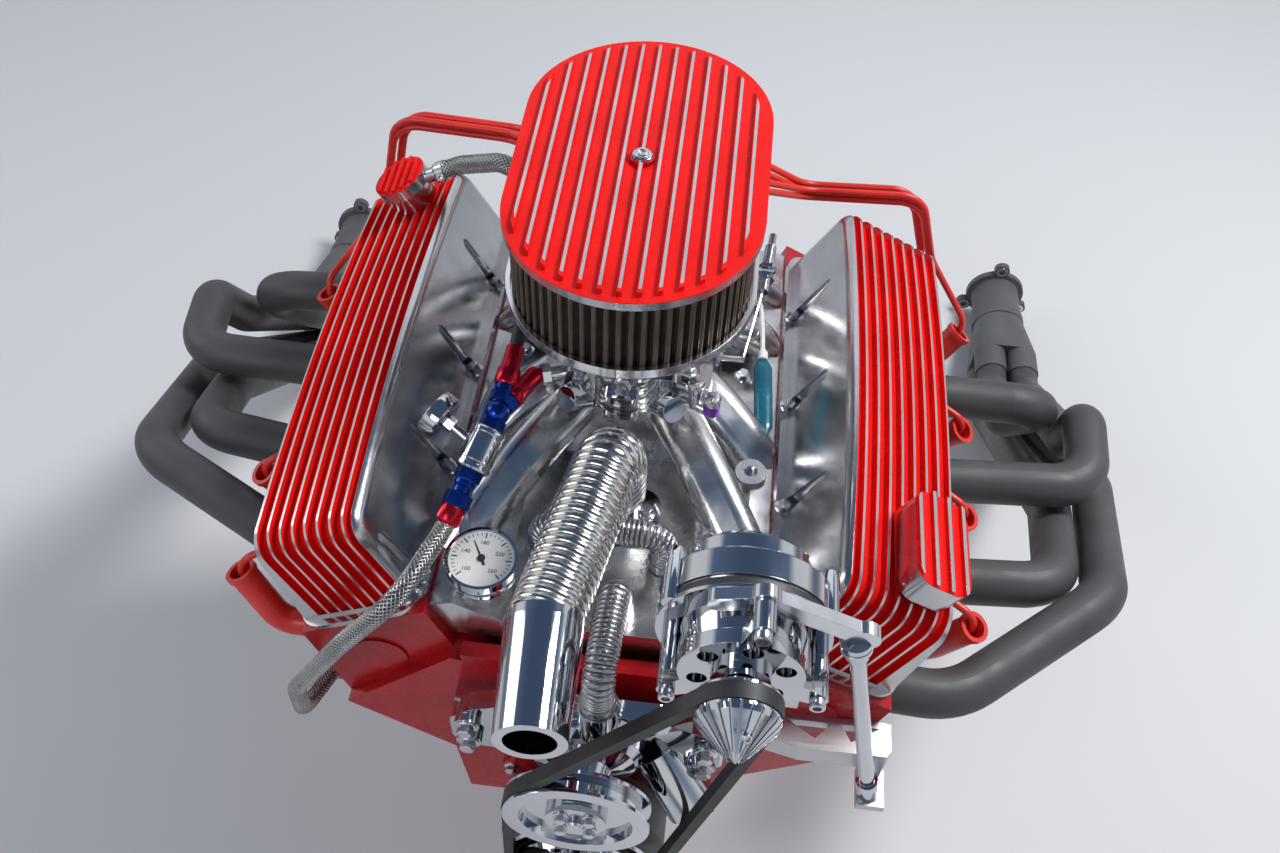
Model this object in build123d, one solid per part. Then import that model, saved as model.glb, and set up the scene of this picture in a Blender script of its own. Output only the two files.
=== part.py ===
from build123d import *
import math
import os

# Dressed V8 engine of a hot rod, in millimetres.
# The crankshaft axis runs along Y at X = 0, Z = 0. The rear face of the block is at Y = 0,
# the pulleys are at the front, towards -Y, and +Z is up. The right bank lies towards +X.

# Block
block_length = 505.0
block_front_y = -block_length
pan_rail_z = -58.0
block_half_width = 122.0
rear_flange_half_width = 196.0
rear_flange_thickness = 16.0
rear_bolt_spacing_x = 372.0
rear_bolt_spacing_z = 150.0
rear_bolt_radius = 5.2
crank_bore_radius = 48.0
flange_bolt_count = 6
flange_bolt_circle = 72.0
flange_bolt_radius = 4.6
core_plug_places = (-225.0, -160.0)
core_plug_z = -6.0
core_plug_radius = 20.0
core_plug_depth = 3.0
rib_places = (-270.0, -192.0, -128.0)

# Cylinder heads, drawn as X and Z of the deck's and the cover rail's edges
cover_tilt = 27.4
deck_inner = (120.0, 204.0)
deck_outer = (224.0, 100.0)
rail_inner = (140.0, 255.0)
rail_width = 127.0
rail_outer = (rail_inner[0] + rail_width * math.cos(math.radians(cover_tilt)),
              rail_inner[1] - rail_width * math.sin(math.radians(cover_tilt)))
head_front_y = block_front_y + 2.0
head_rear_y = -13.0
head_length = head_rear_y - head_front_y
left_head_shift = 10.0
plug_level = 116.0
plug_length = 20.0
plug_radius = 9.0

# Valve covers, in the rail's own directions: u across, y along, n away from the rail
cover_width = 130.0
cover_front_y = head_front_y + 4.0
cover_rear_y = head_rear_y - 10.0
cover_length = cover_rear_y - cover_front_y
cover_flange = 5.0
cover_corner = 26.0
cover_height = 101.0
cover_crown = 10.0
cover_inner_foot = 8.0
cover_inner_top = 5.0
cover_outer_foot = 122.0
cover_outer_top = 102.0
cover_end_foot = 8.0
cover_end_top = 17.0
cover_end_round = 24.0
cover_ridge_round = 12.0
fin_count = 8
fin_first = 19.1
fin_pitch = 12.5
fin_width = 3.4
fin_depth = 6.0
first_groove = 5.6
relief_radius = 9.0
relief_top_radius = 5.0
relief_height = 66.0
relief_places = (-466.0, -352.0, -236.0, -120.0)

# Air cleaner, centred over the carburettor
carb_y = -197.0
cleaner_width = 208.0
cleaner_length = 327.0
cleaner_base_z = 418.0
cleaner_base_thickness = 9.0
element_inset = 7.0
element_thickness = 26.0
element_height = 71.0
pleat_count = 88
pleat_depth = 5.0
lid_thickness = 8.0
lid_border = 7.0
lid_fin_count = 13
lid_fin_width = 4.0
lid_fin_height = 4.5

# Intake manifold and carburettor
manifold_front_y = block_front_y + 21.0
manifold_rear_y = -26.0
manifold_gap = 1.0
runner_width = 44.0
runner_height = 30.0
runner_places = ((-420.0, -262.0), (-300.0, -222.0), (-152.0, -172.0), (-84.0, -136.0))
# Bosses on the manifold's floor: x, y, top, radius and the radius of the hole
manifold_bosses = (
    (118.0, -322.0, 266.0, 14.0, 6.0),
    (86.0, -371.0, 262.0, 13.0, 0.0),
    (14.0, -462.0, 246.0, 16.0, 0.0),
    (50.0, -418.0, 250.0, 15.0, 0.0),
    (-54.0, -416.0, 250.0, 15.0, 0.0),
)
carb_pad_z = 312.0
carb_neck_radius = 64.0
bowl_places = ((-316.0, -248.0, 92.0), (-150.0, -101.0, 92.0))
fuel_inlet_y = -296.0

# Front drive, all pulleys in one belt plane
belt_plane_y = block_front_y - 92.0
belt_width = 13.0
belt_thickness = 8.0
belt_proud = 1.0
belt_gap = 0.3
crank_pulley_radius = 66.0
pump_z = 136.0
pump_bolt_x = 102.0
pump_bolt_levels = (132.0, 162.0)
pump_pulley_radius = 62.0
alternator_x = 116.0
alternator_z = 353.0
alternator_pulley_radius = 31.0
nose_flute_count = 24
damper_radius = 76.0
damper_front_y = belt_plane_y + 23.0

# Alternator case
alternator_radius = 65.0
alternator_drum_radius = 48.0
alternator_rear_y = block_front_y + 31.0
alternator_ring_y = alternator_rear_y - 28.0
alternator_seam_y = alternator_ring_y - 24.0
alternator_lip_y = alternator_seam_y - 8.0
brace_rear_y = alternator_lip_y - 3.0
brace_thickness = 10.0
brace_width = 15.0
brace_line = ((94.0, 406.0), (126.0, 415.0), (200.0, 380.0))
spider_rear_y = brace_rear_y - 21.0
spider_front_y = spider_rear_y - 12.0
post_angles = (81.0, 215.0, -23.0)
post_ring_radius = 62.8
post_radius = 8.0

# Lower bracket and the rod that stands on it
bracket_top_z = 176.0
bracket_thickness = 10.0
bracket_depth = 24.0
bracket_wall = 8.0
bracket_lip_y = block_front_y - 31.0
bracket_outer_x = 256.0
bracket_front_y = block_front_y - 15.0
rod_seat_z = 134.0
rod_seat_thickness = 8.0
rod_seat_width = 24.0
rod_top = (196.0, brace_rear_y - 5.0, 366.0)
rod_foot = (245.0, bracket_lip_y - 14.0)
rod_radius = 6.5

# Exhaust, on the right bank; port faces lean outwards by the head's own side
port_z = 152.0
head_side_run = rail_outer[0] - deck_outer[0]
head_side_rise = rail_outer[1] - deck_outer[1]
port_x = deck_outer[0] + (port_z - deck_outer[1]) * head_side_run / head_side_rise
port_slope = math.atan2(head_side_rise, head_side_run)
flange_thickness = 8.0
tube_seat = 4.6
flange_height = 34.0
port_pad_radius = 28.0
primary_radius = 22.2
socket_gap = 0.3
socket_wall = 1.6
socket_length = 40.0
collector_x = 536.0
collector_z = -324.0
collector_spread = 24.0
collector_y = {"right": 350.0, "left": 356.0}
collector_cone = 90.0
collector_radius = 38.0
collector_wall = 2.5
collector_length = 210.0
collector_flange_radius = 46.0
collector_flange_thickness = 9.0
collector_bolt_circle = 105.0
collector_bolt_radius = 5.0
bank_offset = 6.0

# Primary tubes, front to rear, with X measured outwards: the port's y, how far the tube runs
# straight out, the bends between, the y where it turns along the collector, its socket (outer or
# inner, upper or lower) and the radius of each bend
primaries = {
    "right": (
        (-456, 318, ((466, -334, 143), (510, -120, 36)), 304, (1, -1), (80, 62, 70, 60)),
        (-336, 278, ((422, -326, 143), (442, -196, 88)), 304, (-1, -1), (60, 44, 50, 60)),
        (-216, 278, ((466, -202, 142), (474, -108, 134), (478, -78, 66)), 322, (1, 1), (60, 44, 26, 36, 60)),
        (-100, 278, ((449, -101, 143), (412, -50, 60)), 322, (-1, 1), (60, 38, 40, 60)),
    ),
    "left": (
        (-386, 278, ((480, -278, 143), (512, -60, 26)), 310, (1, -1), (60, 66, 60, 60)),
        (-268, 278, ((433, -244, 143), (450, -135, 83)), 310, (-1, -1), (60, 42, 50, 60)),
        (-150, 278, ((475, -144, 143), (489, -54, 132), (482, -10, 62)), 326, (1, 1), (60, 44, 26, 36, 60)),
        (-32, 278, ((450, -46, 143), (408, 10, 60)), 326, (-1, 1), (60, 38, 40, 60)),
    ),
}

# Filler cap on the right cover and breather on the left one, as u, y and n on the cover
cap_u = 77.0
cap_y = -426.0
cap_seat = 104.0
cap_top = 131.0
cap_width = 53.0
cap_length = 89.0
cap_corner = 17.0
cap_fin_count = 4
cap_fin_pitch = 14.4
cap_fin_shift = -2.3
cap_fin_width = 3.4
cap_fin_height = 4.0
breather_u = 49.0
breather_y = -81.0
breather_top = 136.0
breather_radius = 27.0
breather_fin_count = 5
breather_fin_pitch = 9.0
spigot_n = 126.0
spigot_end_u = 12.0
seat_gap = 0.3

# Cooling hose
outlet_y = -366.0
outlet_top = 276.0
hose_radius = 29.0
hose_height = 337.0
hose_bend = min(44.0, 0.75 * (hose_height - outlet_top))
hose_end = (-31.0, block_front_y - 30.0)
sleeve_end = (-26.0, block_front_y - 127.0)
sleeve_bore_radius = 19.5
sleeve_bore_length = 60.0

# Engine mounts on the block's sides
mount_y = -338.0
mount_x = 164.0
mount_z = -34.0
mount_length = 64.0
mount_bore_radius = 5.7

# Ignition
distributor_y = -50.0
distributor_radius = 44.0
cap_terminal_z = 378.0
terminal_radius = 6.0
terminal_rows = ((10.0, 24.0), (24.0, 10.0), (24.0, -10.0), (10.0, -24.0))
terminal_reach = 52.0
boot_radius = 13.0
boot_rim_radius = 14.6
boot_bore_radius = 10.4
boot_bore_depth = 30.0
boot_elbow_reach = 30.0
wire_radius = 3.5
wire_pitch = 9.0
loom_x = 262.0
loom_z = 177.0

# Open ends of the plug boots, front to rear, with X measured outwards, and how far the plug is from
# the boot's own y
boot_mouths = {
    "right": (((332, -402, 178), 10), ((333, -275, 170), 8), ((338, -158, 160), 8), ((343, -14, 154), -14)),
    "left": (((331, -429, 180), -10), ((346, -312, 172), 8), ((328, -196, 176), -6), ((342, -80, 186), -8)),
}
loom_height = {"right": 308.0, "left": 346.0}

# Temperature gauge on the filler neck, fuel filter with its gauge, and the hoses
gauge_place = (-98.0, -453.0)
gauge_top = 284.0
gauge_radius = 30.5
gauge_height = 26.0
tee_place = (-99.0, -353.0, 350.0)
filter_ends = ((-103.0, -366.0, 344.0), (-115.0, -398.0, 328.0))
filter_radius = 15.0
fuel_gauge_place = (-140.0, -366.0, 350.0)
fuel_hose_radius = 8.0
filter_outlet = (-120.0, -416.0, 319.0)
fuel_hose_bends = [(-148, -520, 318), (-200, -526, 250), (-258, -522, 150), (-274, -500, 60)]
pump_outlet = (-238.0, -432.0, 30.0)
fuel_pump_place = (-178.0, -420.0)
hose_entry = (-84.0, -120.0)
breather_hose_radius = 9.0
bypass_y = block_front_y - 35.0
bypass_route = [(10, bypass_y, 222), (10, bypass_y, 268), (14, -462, 268), (14, -462, 246)]
bypass_radius = 14.0
heater_route = [(50, -418, 250), (50, -418, 292), (-54, -416, 292), (-54, -416, 250)]
heater_radius = 12.0

nodes = {}


def add(name, solid):
    nodes[name] = solid


def span(x0, x1, y0, y1, z0, z1):
    centre = Pos((x0 + x1) / 2, (y0 + y1) / 2, (z0 + z1) / 2)
    return centre * Box(abs(x1 - x0), abs(y1 - y0), abs(z1 - z0))


def prism_y(points, y0, y1, rounding=0.0):
    face = make_face(Polyline(*[(x, z) for x, z in points], close=True))
    if rounding:
        face = fillet(face.vertices(), rounding)
    return extrude(Plane((0, y0, 0), x_dir=(1, 0, 0), z_dir=(0, -1, 0)) * face, amount=y0 - y1)


def prism_x(points, x0, x1, rounding=0.0):
    face = make_face(Polyline(*[(y, z) for y, z in points], close=True))
    if rounding:
        face = fillet(face.vertices(), rounding)
    return extrude(Plane((x0, 0, 0), x_dir=(0, 1, 0), z_dir=(1, 0, 0)) * face, amount=x1 - x0)


def rod(start, end, radius):
    axis = Vector(*end) - Vector(*start)
    plane = Plane(origin=start, z_dir=axis)
    return extrude(plane * Circle(radius), amount=axis.length)


def turned_y(profile, x=0.0, z=0.0):
    # A profile of (radius, y) pairs turned about a line along Y
    face = make_face(Polyline(*[(radius, y) for radius, y in profile], close=True))
    solid = revolve(face, axis=Axis.Y)
    return Pos(x, 0, z) * solid


def turned_z(profile, x=0.0, y=0.0):
    # A profile of (radius, z) pairs turned about a line along Z
    face = make_face(Polyline(*[(radius, z) for radius, z in profile], close=True))
    solid = revolve(Plane.XZ * face, axis=Axis.Z)
    return Pos(x, y, 0) * solid


def bend_radii(points, largest):
    radii = []
    for before, here, after in zip(points, points[1:], points[2:]):
        into = Vector(*here) - Vector(*before)
        out = Vector(*after) - Vector(*here)
        half_turn = math.radians(into.get_angle(out)) / 2
        shorter = min(into.length, out.length)
        radii.append(min(largest, 0.45 * shorter / math.tan(half_turn)))
    return radii


def bent_rod(points, radius, largest=1000.0):
    path = FilletPolyline(*points, radius=bend_radii(points, largest))
    return sweep(Plane(origin=path @ 0, z_dir=path % 0) * Circle(radius), path=path)


def mirrored(solid, shift=bank_offset):
    return Pos(0, shift, 0) * mirror(solid, about=Plane.YZ)


def banked(solid, side):
    # A piece drawn with X outwards, set on its own bank
    return solid if side == "right" else mirrored(solid, 0)


def stadium(width, length, inset=0.0):
    return RectangleRounded(width - 2 * inset, length - 2 * inset, (width - 2 * inset) / 2 - 0.01)


# Block, pan and heads

def block_side(z):
    return block_half_width + 8 * (z - pan_rail_z) / (30 - pan_rail_z)


def block():
    outline = [(-block_half_width, pan_rail_z), (block_half_width, pan_rail_z), (block_half_width + 8, 30),
               deck_outer, deck_inner, (96, 196), (60, 150), (-60, 150), (-96, 196)]
    outline += [(-deck_inner[0], deck_inner[1]), (-deck_outer[0], deck_outer[1]), (-block_half_width - 8, 30)]
    body = prism_y(outline, block_front_y, 0)
    edge = rear_flange_half_width + 8
    flange = [(-edge, 92), (-edge, -98), (-150, -112), (-100, pan_rail_z), (100, pan_rail_z), (150, -112),
              (edge, -98), (edge, 92), (158, 162), (90, 196), (-90, 196), (-158, 162)]
    body += prism_y(flange, -rear_flange_thickness, 0, 12)
    wall_top = deck_inner[1] + 7
    wall = [(-112, wall_top), (-110, 200), (-96, 196), (-60, 150),
            (60, 150), (96, 196), (110, 200), (112, wall_top)]
    body += prism_y(wall, block_front_y, block_front_y + 14)
    body += prism_y(wall, -14, 0)
    body += span(96, 190, -112, -38, pan_rail_z, pan_rail_z + 26)
    body -= turned_y([(0, -30), (crank_bore_radius, -30), (crank_bore_radius, 1), (0, 1)])
    for side in (-1, 1):
        for level in (-1, 1):
            centre = (side * rear_bolt_spacing_x / 2, level * rear_bolt_spacing_z / 2)
            body -= rod((centre[0], 1, centre[1]), (centre[0], -30, centre[1]), rear_bolt_radius)
        for place in core_plug_places:
            start = side * (block_side(core_plug_z) - core_plug_depth)
            body -= rod((start, place, core_plug_z), (side * 150, place, core_plug_z), core_plug_radius)
        for place in rib_places:
            rib = [(side * block_side(-52), -52), (side * (block_side(-52) + 4), -52),
                   (side * (block_side(26) + 4), 26), (side * block_side(26), 26)]
            body += prism_y(rib, place - 4, place + 4)
    return body


def oil_pan():
    rail = Pos(0, -(block_length + 14) / 2, pan_rail_z - 8)
    rail = rail * extrude(RectangleRounded(236, block_length - 26, 14), amount=8)
    front = block_front_y + 13
    side = [(front, -60), (-34, -60), (-34, -196), (-250, -196), (-300, -112), (front + 12, -106)]
    sump = prism_x(side, -92, 92, 10)
    sump = fillet(sump.edges().filter_by(Axis.Y).group_by(Axis.Z)[0], 14)
    drain = rod((0, -34, -172), (0, -26, -172), 12)
    return rail + sump + drain


def head(side):
    outline = [deck_inner, deck_outer, rail_outer, rail_inner]
    shift = 0 if side == "right" else left_head_shift
    solid = prism_y(outline, head_front_y + shift, head_front_y + head_length + shift)
    for (x, y, z), plug_offset in boot_mouths[side]:
        foot = plug_foot_x()
        place = y + plug_offset
        solid += rod((foot - 4, place, plug_level), (foot + plug_length, place, plug_level), plug_radius)
        solid += rod((foot - 4, place, plug_level), (foot + 7, place, plug_level), plug_radius + 3)
    front = head_front_y + shift
    solid += rod((186, front, 176), (186, front - 2, 176), 24)
    return solid


def plug_foot_x():
    # Where the head's outer face stands at the height of the spark plugs
    return deck_outer[0] + (plug_level - deck_outer[1]) * head_side_run / head_side_rise


# Valve covers

def cover_side(inset, top):
    # Side view of the cover (y, n): sloped ends, rounded corners and a crowned top
    front = cover_front_y + cover_end_foot + inset
    rear = cover_front_y + cover_length - cover_end_foot - inset
    front_top = cover_front_y + cover_end_top + inset
    rear_top = cover_front_y + cover_length - cover_end_top - inset
    middle = (front + rear) / 2
    lines = Curve() + [
        Line((front, 0), (front_top, top)),
        ThreePointArc((front_top, top), (middle, top + cover_crown), (rear_top, top)),
        Line((rear_top, top), (rear, 0)),
        Line((rear, 0), (front, 0))]
    face = make_face(lines)
    corners = face.vertices().sort_by(Axis.Y)[-2:]
    return fillet(corners, cover_end_round - inset)


def along_u(face, u0, u1):
    return extrude(Plane((u0, 0, 0), x_dir=(0, 1, 0), z_dir=(1, 0, 0)) * face, amount=u1 - u0)


def cover_grooves():
    slots = None
    for index in range(fin_count):
        high = fin_first + index * fin_pitch - fin_width / 2
        low = high - (first_groove if index == 0 else fin_pitch - fin_width)
        slot = span(low, high, cover_front_y - 5, cover_front_y + cover_length + 5, cover_flange + 3, 160)
        slots = slot if slots is None else slots + slot
    core = along_u(cover_side(fin_depth, cover_height - fin_depth), -5, cover_width + 5)
    return slots - core


def cap_shape(gap=0.0):
    # The lower part of the cap, which stands in the cover
    outline = RectangleRounded(cap_width + 2 * gap, cap_length + 2 * gap, cap_corner + gap)
    return Pos(cap_u, cap_y, cap_seat) * extrude(outline, amount=cap_top - cap_seat)


def filler_cap():
    top = extrude(RectangleRounded(cap_width, cap_length, cap_corner), amount=cap_fin_height)
    cap = cap_shape()
    for index in range(cap_fin_count):
        across = (index - (cap_fin_count - 1) / 2) * cap_fin_pitch + cap_fin_shift
        fin = top & (Pos(across, 0, 0) * Box(cap_fin_width, cap_length, 3 * cap_fin_height))
        cap += Pos(cap_u, cap_y, cap_top) * fin
    return cap


def breather_shape(gap=0.0):
    profile = [(0, cap_seat), (breather_radius - 5 + gap, cap_seat),
               (breather_radius + gap, breather_top - 12), (breather_radius + gap, breather_top),
               (0, breather_top)]
    return turned_z(profile, breather_u, breather_y)


def breather():
    cup = breather_shape()
    for index in range(breather_fin_count):
        across = (index - (breather_fin_count - 1) / 2) * breather_fin_pitch
        half = math.sqrt((breather_radius - 2) ** 2 - across ** 2)
        cup += span(breather_u + across - 1.5, breather_u + across + 1.5,
                    breather_y - half, breather_y + half, breather_top, breather_top + 3)
    spigot_start = (breather_u - breather_radius + 8, breather_y, spigot_n)
    return cup + rod(spigot_start, (spigot_end_u, breather_y, spigot_n), 7)


def breather_hose():
    # From the breather's spigot to the underside of the air cleaner
    first = Vector(*cover_point(spigot_end_u - seat_gap, breather_y + bank_offset, spigot_n))
    second = Vector(*cover_point(spigot_end_u - 28, breather_y + bank_offset, spigot_n))
    x, y = hose_entry
    route = [(-first.X, first.Y, first.Z), (-second.X, second.Y, second.Z), (-140, -94, 398),
             (x, y, cleaner_base_z - 26), (x, y, cleaner_base_z - seat_gap)]
    return bent_rod(route, breather_hose_radius, 30)


def relief_cuts():
    # Conical pockets in the inner wall, one over each cover bolt
    cuts = []
    for place in relief_places:
        profile = [(0, cover_flange), (relief_radius, cover_flange),
                   (relief_top_radius, relief_height), (0, relief_height + relief_top_radius)]
        cuts.append(turned_z(profile, cover_inner_foot - 1, place))
    return cuts


def valve_cover(seat):
    flange = extrude(RectangleRounded(cover_width, cover_length, cover_corner), amount=cover_flange)
    flange = Pos(cover_width / 2, cover_front_y + cover_length / 2, 0) * flange
    side = along_u(cover_side(0, cover_height), 0, cover_width)
    section = [(cover_inner_foot, 1), (cover_outer_foot, 1), (cover_outer_top, 150), (cover_inner_top, 150)]
    body = side & prism_y(section, cover_front_y - 5, cover_front_y + cover_length + 5)
    ridge = [edge for edge in body.edges()
             if edge.center().X < cover_inner_foot and edge.center().Z > cover_height * 0.6]
    body = fillet(ridge, cover_ridge_round)
    body -= cover_grooves()
    for cut in relief_cuts():
        body -= cut
    return flange + (body - seat)


def in_cover(solid):
    return Pos(rail_inner[0], 0, rail_inner[1]) * Rot(0, cover_tilt, 0) * solid


def cover_point(u, y, n):
    turn = math.radians(cover_tilt)
    x = rail_inner[0] + u * math.cos(turn) + n * math.sin(turn)
    z = rail_inner[1] - u * math.sin(turn) + n * math.cos(turn)
    return (x, y, z)


# Intake

def intake_floor():
    slope = (rail_inner[0] - deck_inner[0]) / (rail_inner[1] - deck_inner[1])
    low = deck_inner[0] + 8 * slope - manifold_gap
    high = rail_inner[0] - manifold_gap
    low_z = deck_inner[1] + 8
    outline = [(-low, low_z), (low, low_z), (high - slope, rail_inner[1] - 3),
               (high - 20, rail_inner[1] + 4), (80, 238), (-80, 238),
               (-high + 20, rail_inner[1] + 4), (-high + slope, rail_inner[1] - 3)]
    return prism_y(outline, manifold_front_y, manifold_rear_y)


def runner(side, port, throat):
    # An oblong tube that bows from the plenum down to its port in the head
    start = (side * 34, throat, carb_pad_z - 26)
    crown = (side * 92, (throat + 2 * port) / 3, carb_pad_z - 34)
    end = (side * 129, port, rail_inner[1] - 14)
    path = ThreePointArc(start, crown, end)
    plane = Plane(origin=start, x_dir=(0, 1, 0), z_dir=path % 0)
    return sweep(plane * SlotOverall(runner_width, runner_height), path=path)


def intake_manifold():
    body = intake_floor()
    plenum = extrude(RectangleRounded(172, 204, 40), amount=carb_pad_z - 237, taper=9)
    body += Pos(0, carb_y, 237) * plenum
    slope = (rail_inner[0] - deck_inner[0]) / (rail_inner[1] - deck_inner[1])
    low = deck_inner[0] + 26 * slope - manifold_gap
    high = rail_inner[0] - manifold_gap - 1
    keep = prism_y([(-low, 230), (low, 230), (high, rail_inner[1]), (high, carb_pad_z),
                    (-high, carb_pad_z), (-high, rail_inner[1])],
                   manifold_front_y + 4, manifold_rear_y - 4)
    for side in (-1, 1):
        for port, throat in runner_places:
            body += runner(side, port, throat) & keep
    body += Pos(0, carb_y, carb_pad_z - 12) * extrude(RectangleRounded(150, 168, 20), amount=12)
    for x, y, top, radius, hole in manifold_bosses:
        body += rod((x, y, 236), (x, y, top), radius)
        if hole:
            body -= rod((x, y, top + 1), (x, y, top - 9), hole)
    gauge_seat = (*gauge_place, gauge_top - gauge_height)
    body -= rod(gauge_seat, (*gauge_place, gauge_top + 20), gauge_radius + 1)
    body += rod((*gauge_place, 236), gauge_seat, gauge_radius - 7)
    body -= rod((0, carb_y, carb_pad_z + 1), (0, carb_y, 250), 42)
    return body


def water_outlet():
    foot = Pos(0, outlet_y, 238) * extrude(RectangleRounded(84, 52, 18), amount=10)
    neck = [(0, 240), (32, 240), (28, 252), (26, 256), (26, outlet_top), (0, outlet_top)]
    return foot + turned_z(neck, 0, outlet_y)


def sleeve_plane():
    start = Vector(*hose_end, hose_height)
    return Plane(origin=start, z_dir=Vector(*sleeve_end, hose_height) - start)


def radiator_hose():
    top = (0, outlet_y, hose_height)
    path = FilletPolyline((0, outlet_y, outlet_top), top, (*hose_end, hose_height), radius=hose_bend)
    hose = sweep(Plane(origin=path @ 0, z_dir=path % 0) * Circle(hose_radius), path=path)
    return hose - sleeve_plane() * Pos(0, 0, 50) * Box(100, 100, 100)


def hose_sleeve():
    plane = sleeve_plane()
    end = Vector(*sleeve_end, hose_height)
    along = end - plane.origin
    profile = Polyline((0, 0), (30.5, 0), (30.5, 8), (27, along.length), (0, along.length), close=True)
    shell = plane * revolve(Plane.XZ * make_face(profile), axis=Axis.Z)
    bore_start = end - along.normalized() * sleeve_bore_length
    return shell - rod(tuple(bore_start), tuple(end + along.normalized()), sleeve_bore_radius)


def distributor():
    profile = [(0, 239), (20, 239), (20, 286), (38, 294),
               (distributor_radius, 300), (distributor_radius, 330), (0, 330)]
    return turned_z(profile, 0, distributor_y)


def distributor_cap():
    top = cap_terminal_z - 14
    profile = [(0, 330), (distributor_radius - 1, 330), (distributor_radius - 1, 346), (38, top), (0, top)]
    cap = turned_z(profile, 0, distributor_y)
    for side in (-1, 1):
        for x, y in terminal_rows:
            place = distributor_y + y
            cap += rod((side * x, place, top - 2), (side * x, place, cap_terminal_z), terminal_radius)
            cap += rod((side * x, place, cap_terminal_z),
                       (side * terminal_reach, place, cap_terminal_z), terminal_radius)
            cap += Pos(side * x, place, cap_terminal_z) * Sphere(terminal_radius)
    return cap


def boot_route(mouth, plug_offset):
    x, y, z = mouth
    base = (plug_foot_x() + plug_length + seat_gap, y + plug_offset, plug_level)
    elbow = (x - boot_elbow_reach, y + plug_offset, plug_level)
    return [base, elbow, mouth]


def plug_boots(side):
    boots = []
    for mouth, plug_offset in boot_mouths[side]:
        route = boot_route(mouth, plug_offset)
        tip = Vector(*mouth)
        out = (tip - Vector(*route[1])).normalized()
        boot = bent_rod(route, boot_radius, 24)
        boot += rod(tuple(tip - out * 5), mouth, boot_rim_radius)
        boot -= rod(tuple(tip - out * boot_bore_depth), tuple(tip + out), boot_bore_radius)
        boots.append(boot)
    return Compound(boots)


def plug_wires(side):
    # Each wire leaves its boot, runs in its own lane of the loom under the cover's edge, rises
    # behind the head and crosses to its terminal on the distributor cap
    top = loom_height[side]
    wires = []
    for index, (mouth, plug_offset) in enumerate(boot_mouths[side]):
        route = boot_route(mouth, plug_offset)
        tip = Vector(*mouth)
        out = (tip - Vector(*route[1])).normalized()
        low = index % 2
        outer = index // 2
        lane_x = loom_x + outer * wire_pitch
        lane_z = loom_z + low * wire_pitch
        rear = 12 + (1 - outer) * wire_pitch
        points = [tuple(tip - out * boot_bore_depth), tuple(tip + out * 10)]
        if index < 3:
            points.append((mouth[0] - 30, mouth[1] + 18, mouth[2] + 18))
            points.append((lane_x, mouth[1] + 52, lane_z))
            points.append((lane_x, -22, lane_z))
        points.append((lane_x + 26, rear, lane_z + 46))
        points.append((lane_x, rear, top + low * wire_pitch))
        points.append((150, rear, top - 6 + low * wire_pitch))
        terminal = terminal_rows[(1, 0, 3, 2)[index]]
        place = distributor_y + terminal[1]
        points.append((88, place, cap_terminal_z))
        points.append((terminal_reach + seat_gap, place, cap_terminal_z))
        wires.append(bent_rod(points, wire_radius, 30))
    return Compound(wires)


def fuel_inlet(side):
    # The end of a fuel inlet on the front bowl and the way it points
    start = Vector(side * 40, fuel_inlet_y, carb_pad_z + 38)
    end = Vector(side * 62, fuel_inlet_y - 8, carb_pad_z + 38)
    return end, (end - start).normalized()


def carburettor():
    low = carb_pad_z
    base = Pos(0, carb_y, low) * extrude(RectangleRounded(128, 150, 12), amount=10)
    body = Pos(0, carb_y, low + 10) * extrude(RectangleRounded(118, 104, 14), amount=44)
    for y0, y1, width in bowl_places:
        outline = [(-width / 2, low + 14), (width / 2, low + 14), (width / 2 + 5, low + 30),
                   (width / 2, low + 58), (-width / 2, low + 58), (-width / 2 - 5, low + 30)]
        body += prism_y(outline, y0, y1, 5)
    front = bowl_places[0][0]
    body += Pos(0, front, low + 22) * Rot(90, 0, 0) * extrude(RectangleRounded(30, 28, 3), amount=6)
    for side in (-1, 1):
        body += rod((side * 28, front + 12, low + 16), (side * 46, front - 8, low + 30), 11)
        inlet_end, inlet_way = fuel_inlet(side)
        body += rod(tuple(inlet_end - inlet_way * 24), tuple(inlet_end), 8)
    for shaft in (-34, 34):
        body += rod((-76, carb_y + shaft, low + 5), (76, carb_y + shaft, low + 5), 4.5)
    body += turned_z([(0, low + 50), (56, low + 50), (58, low + 66), (carb_neck_radius, low + 80),
                      (carb_neck_radius, cleaner_base_z), (0, cleaner_base_z)], 0, carb_y)
    return base + body


# Air cleaner

def at_cleaner(solid, z):
    return Pos(0, carb_y, z) * solid


def air_cleaner_base():
    floor = extrude(stadium(cleaner_width, cleaner_length), amount=cleaner_base_thickness)
    hollow = extrude(stadium(cleaner_width, cleaner_length, 4), amount=cleaner_base_thickness)
    return at_cleaner(floor - Pos(0, 0, 4) * hollow, cleaner_base_z)


def stadium_point(distance, width, length, inset):
    # The point at a distance along a stadium's edge, moved inwards by inset
    radius = width / 2
    straight = length - width
    half_turn = math.pi * radius
    if distance < straight:
        return (radius - inset, distance - straight / 2)
    distance -= straight
    if distance < half_turn:
        angle = distance / radius
        return ((radius - inset) * math.cos(angle), straight / 2 + (radius - inset) * math.sin(angle))
    distance -= half_turn
    if distance < straight:
        return (inset - radius, straight / 2 - distance)
    angle = math.pi + (distance - straight) / radius
    return ((radius - inset) * math.cos(angle), (radius - inset) * math.sin(angle) - straight / 2)


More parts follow.
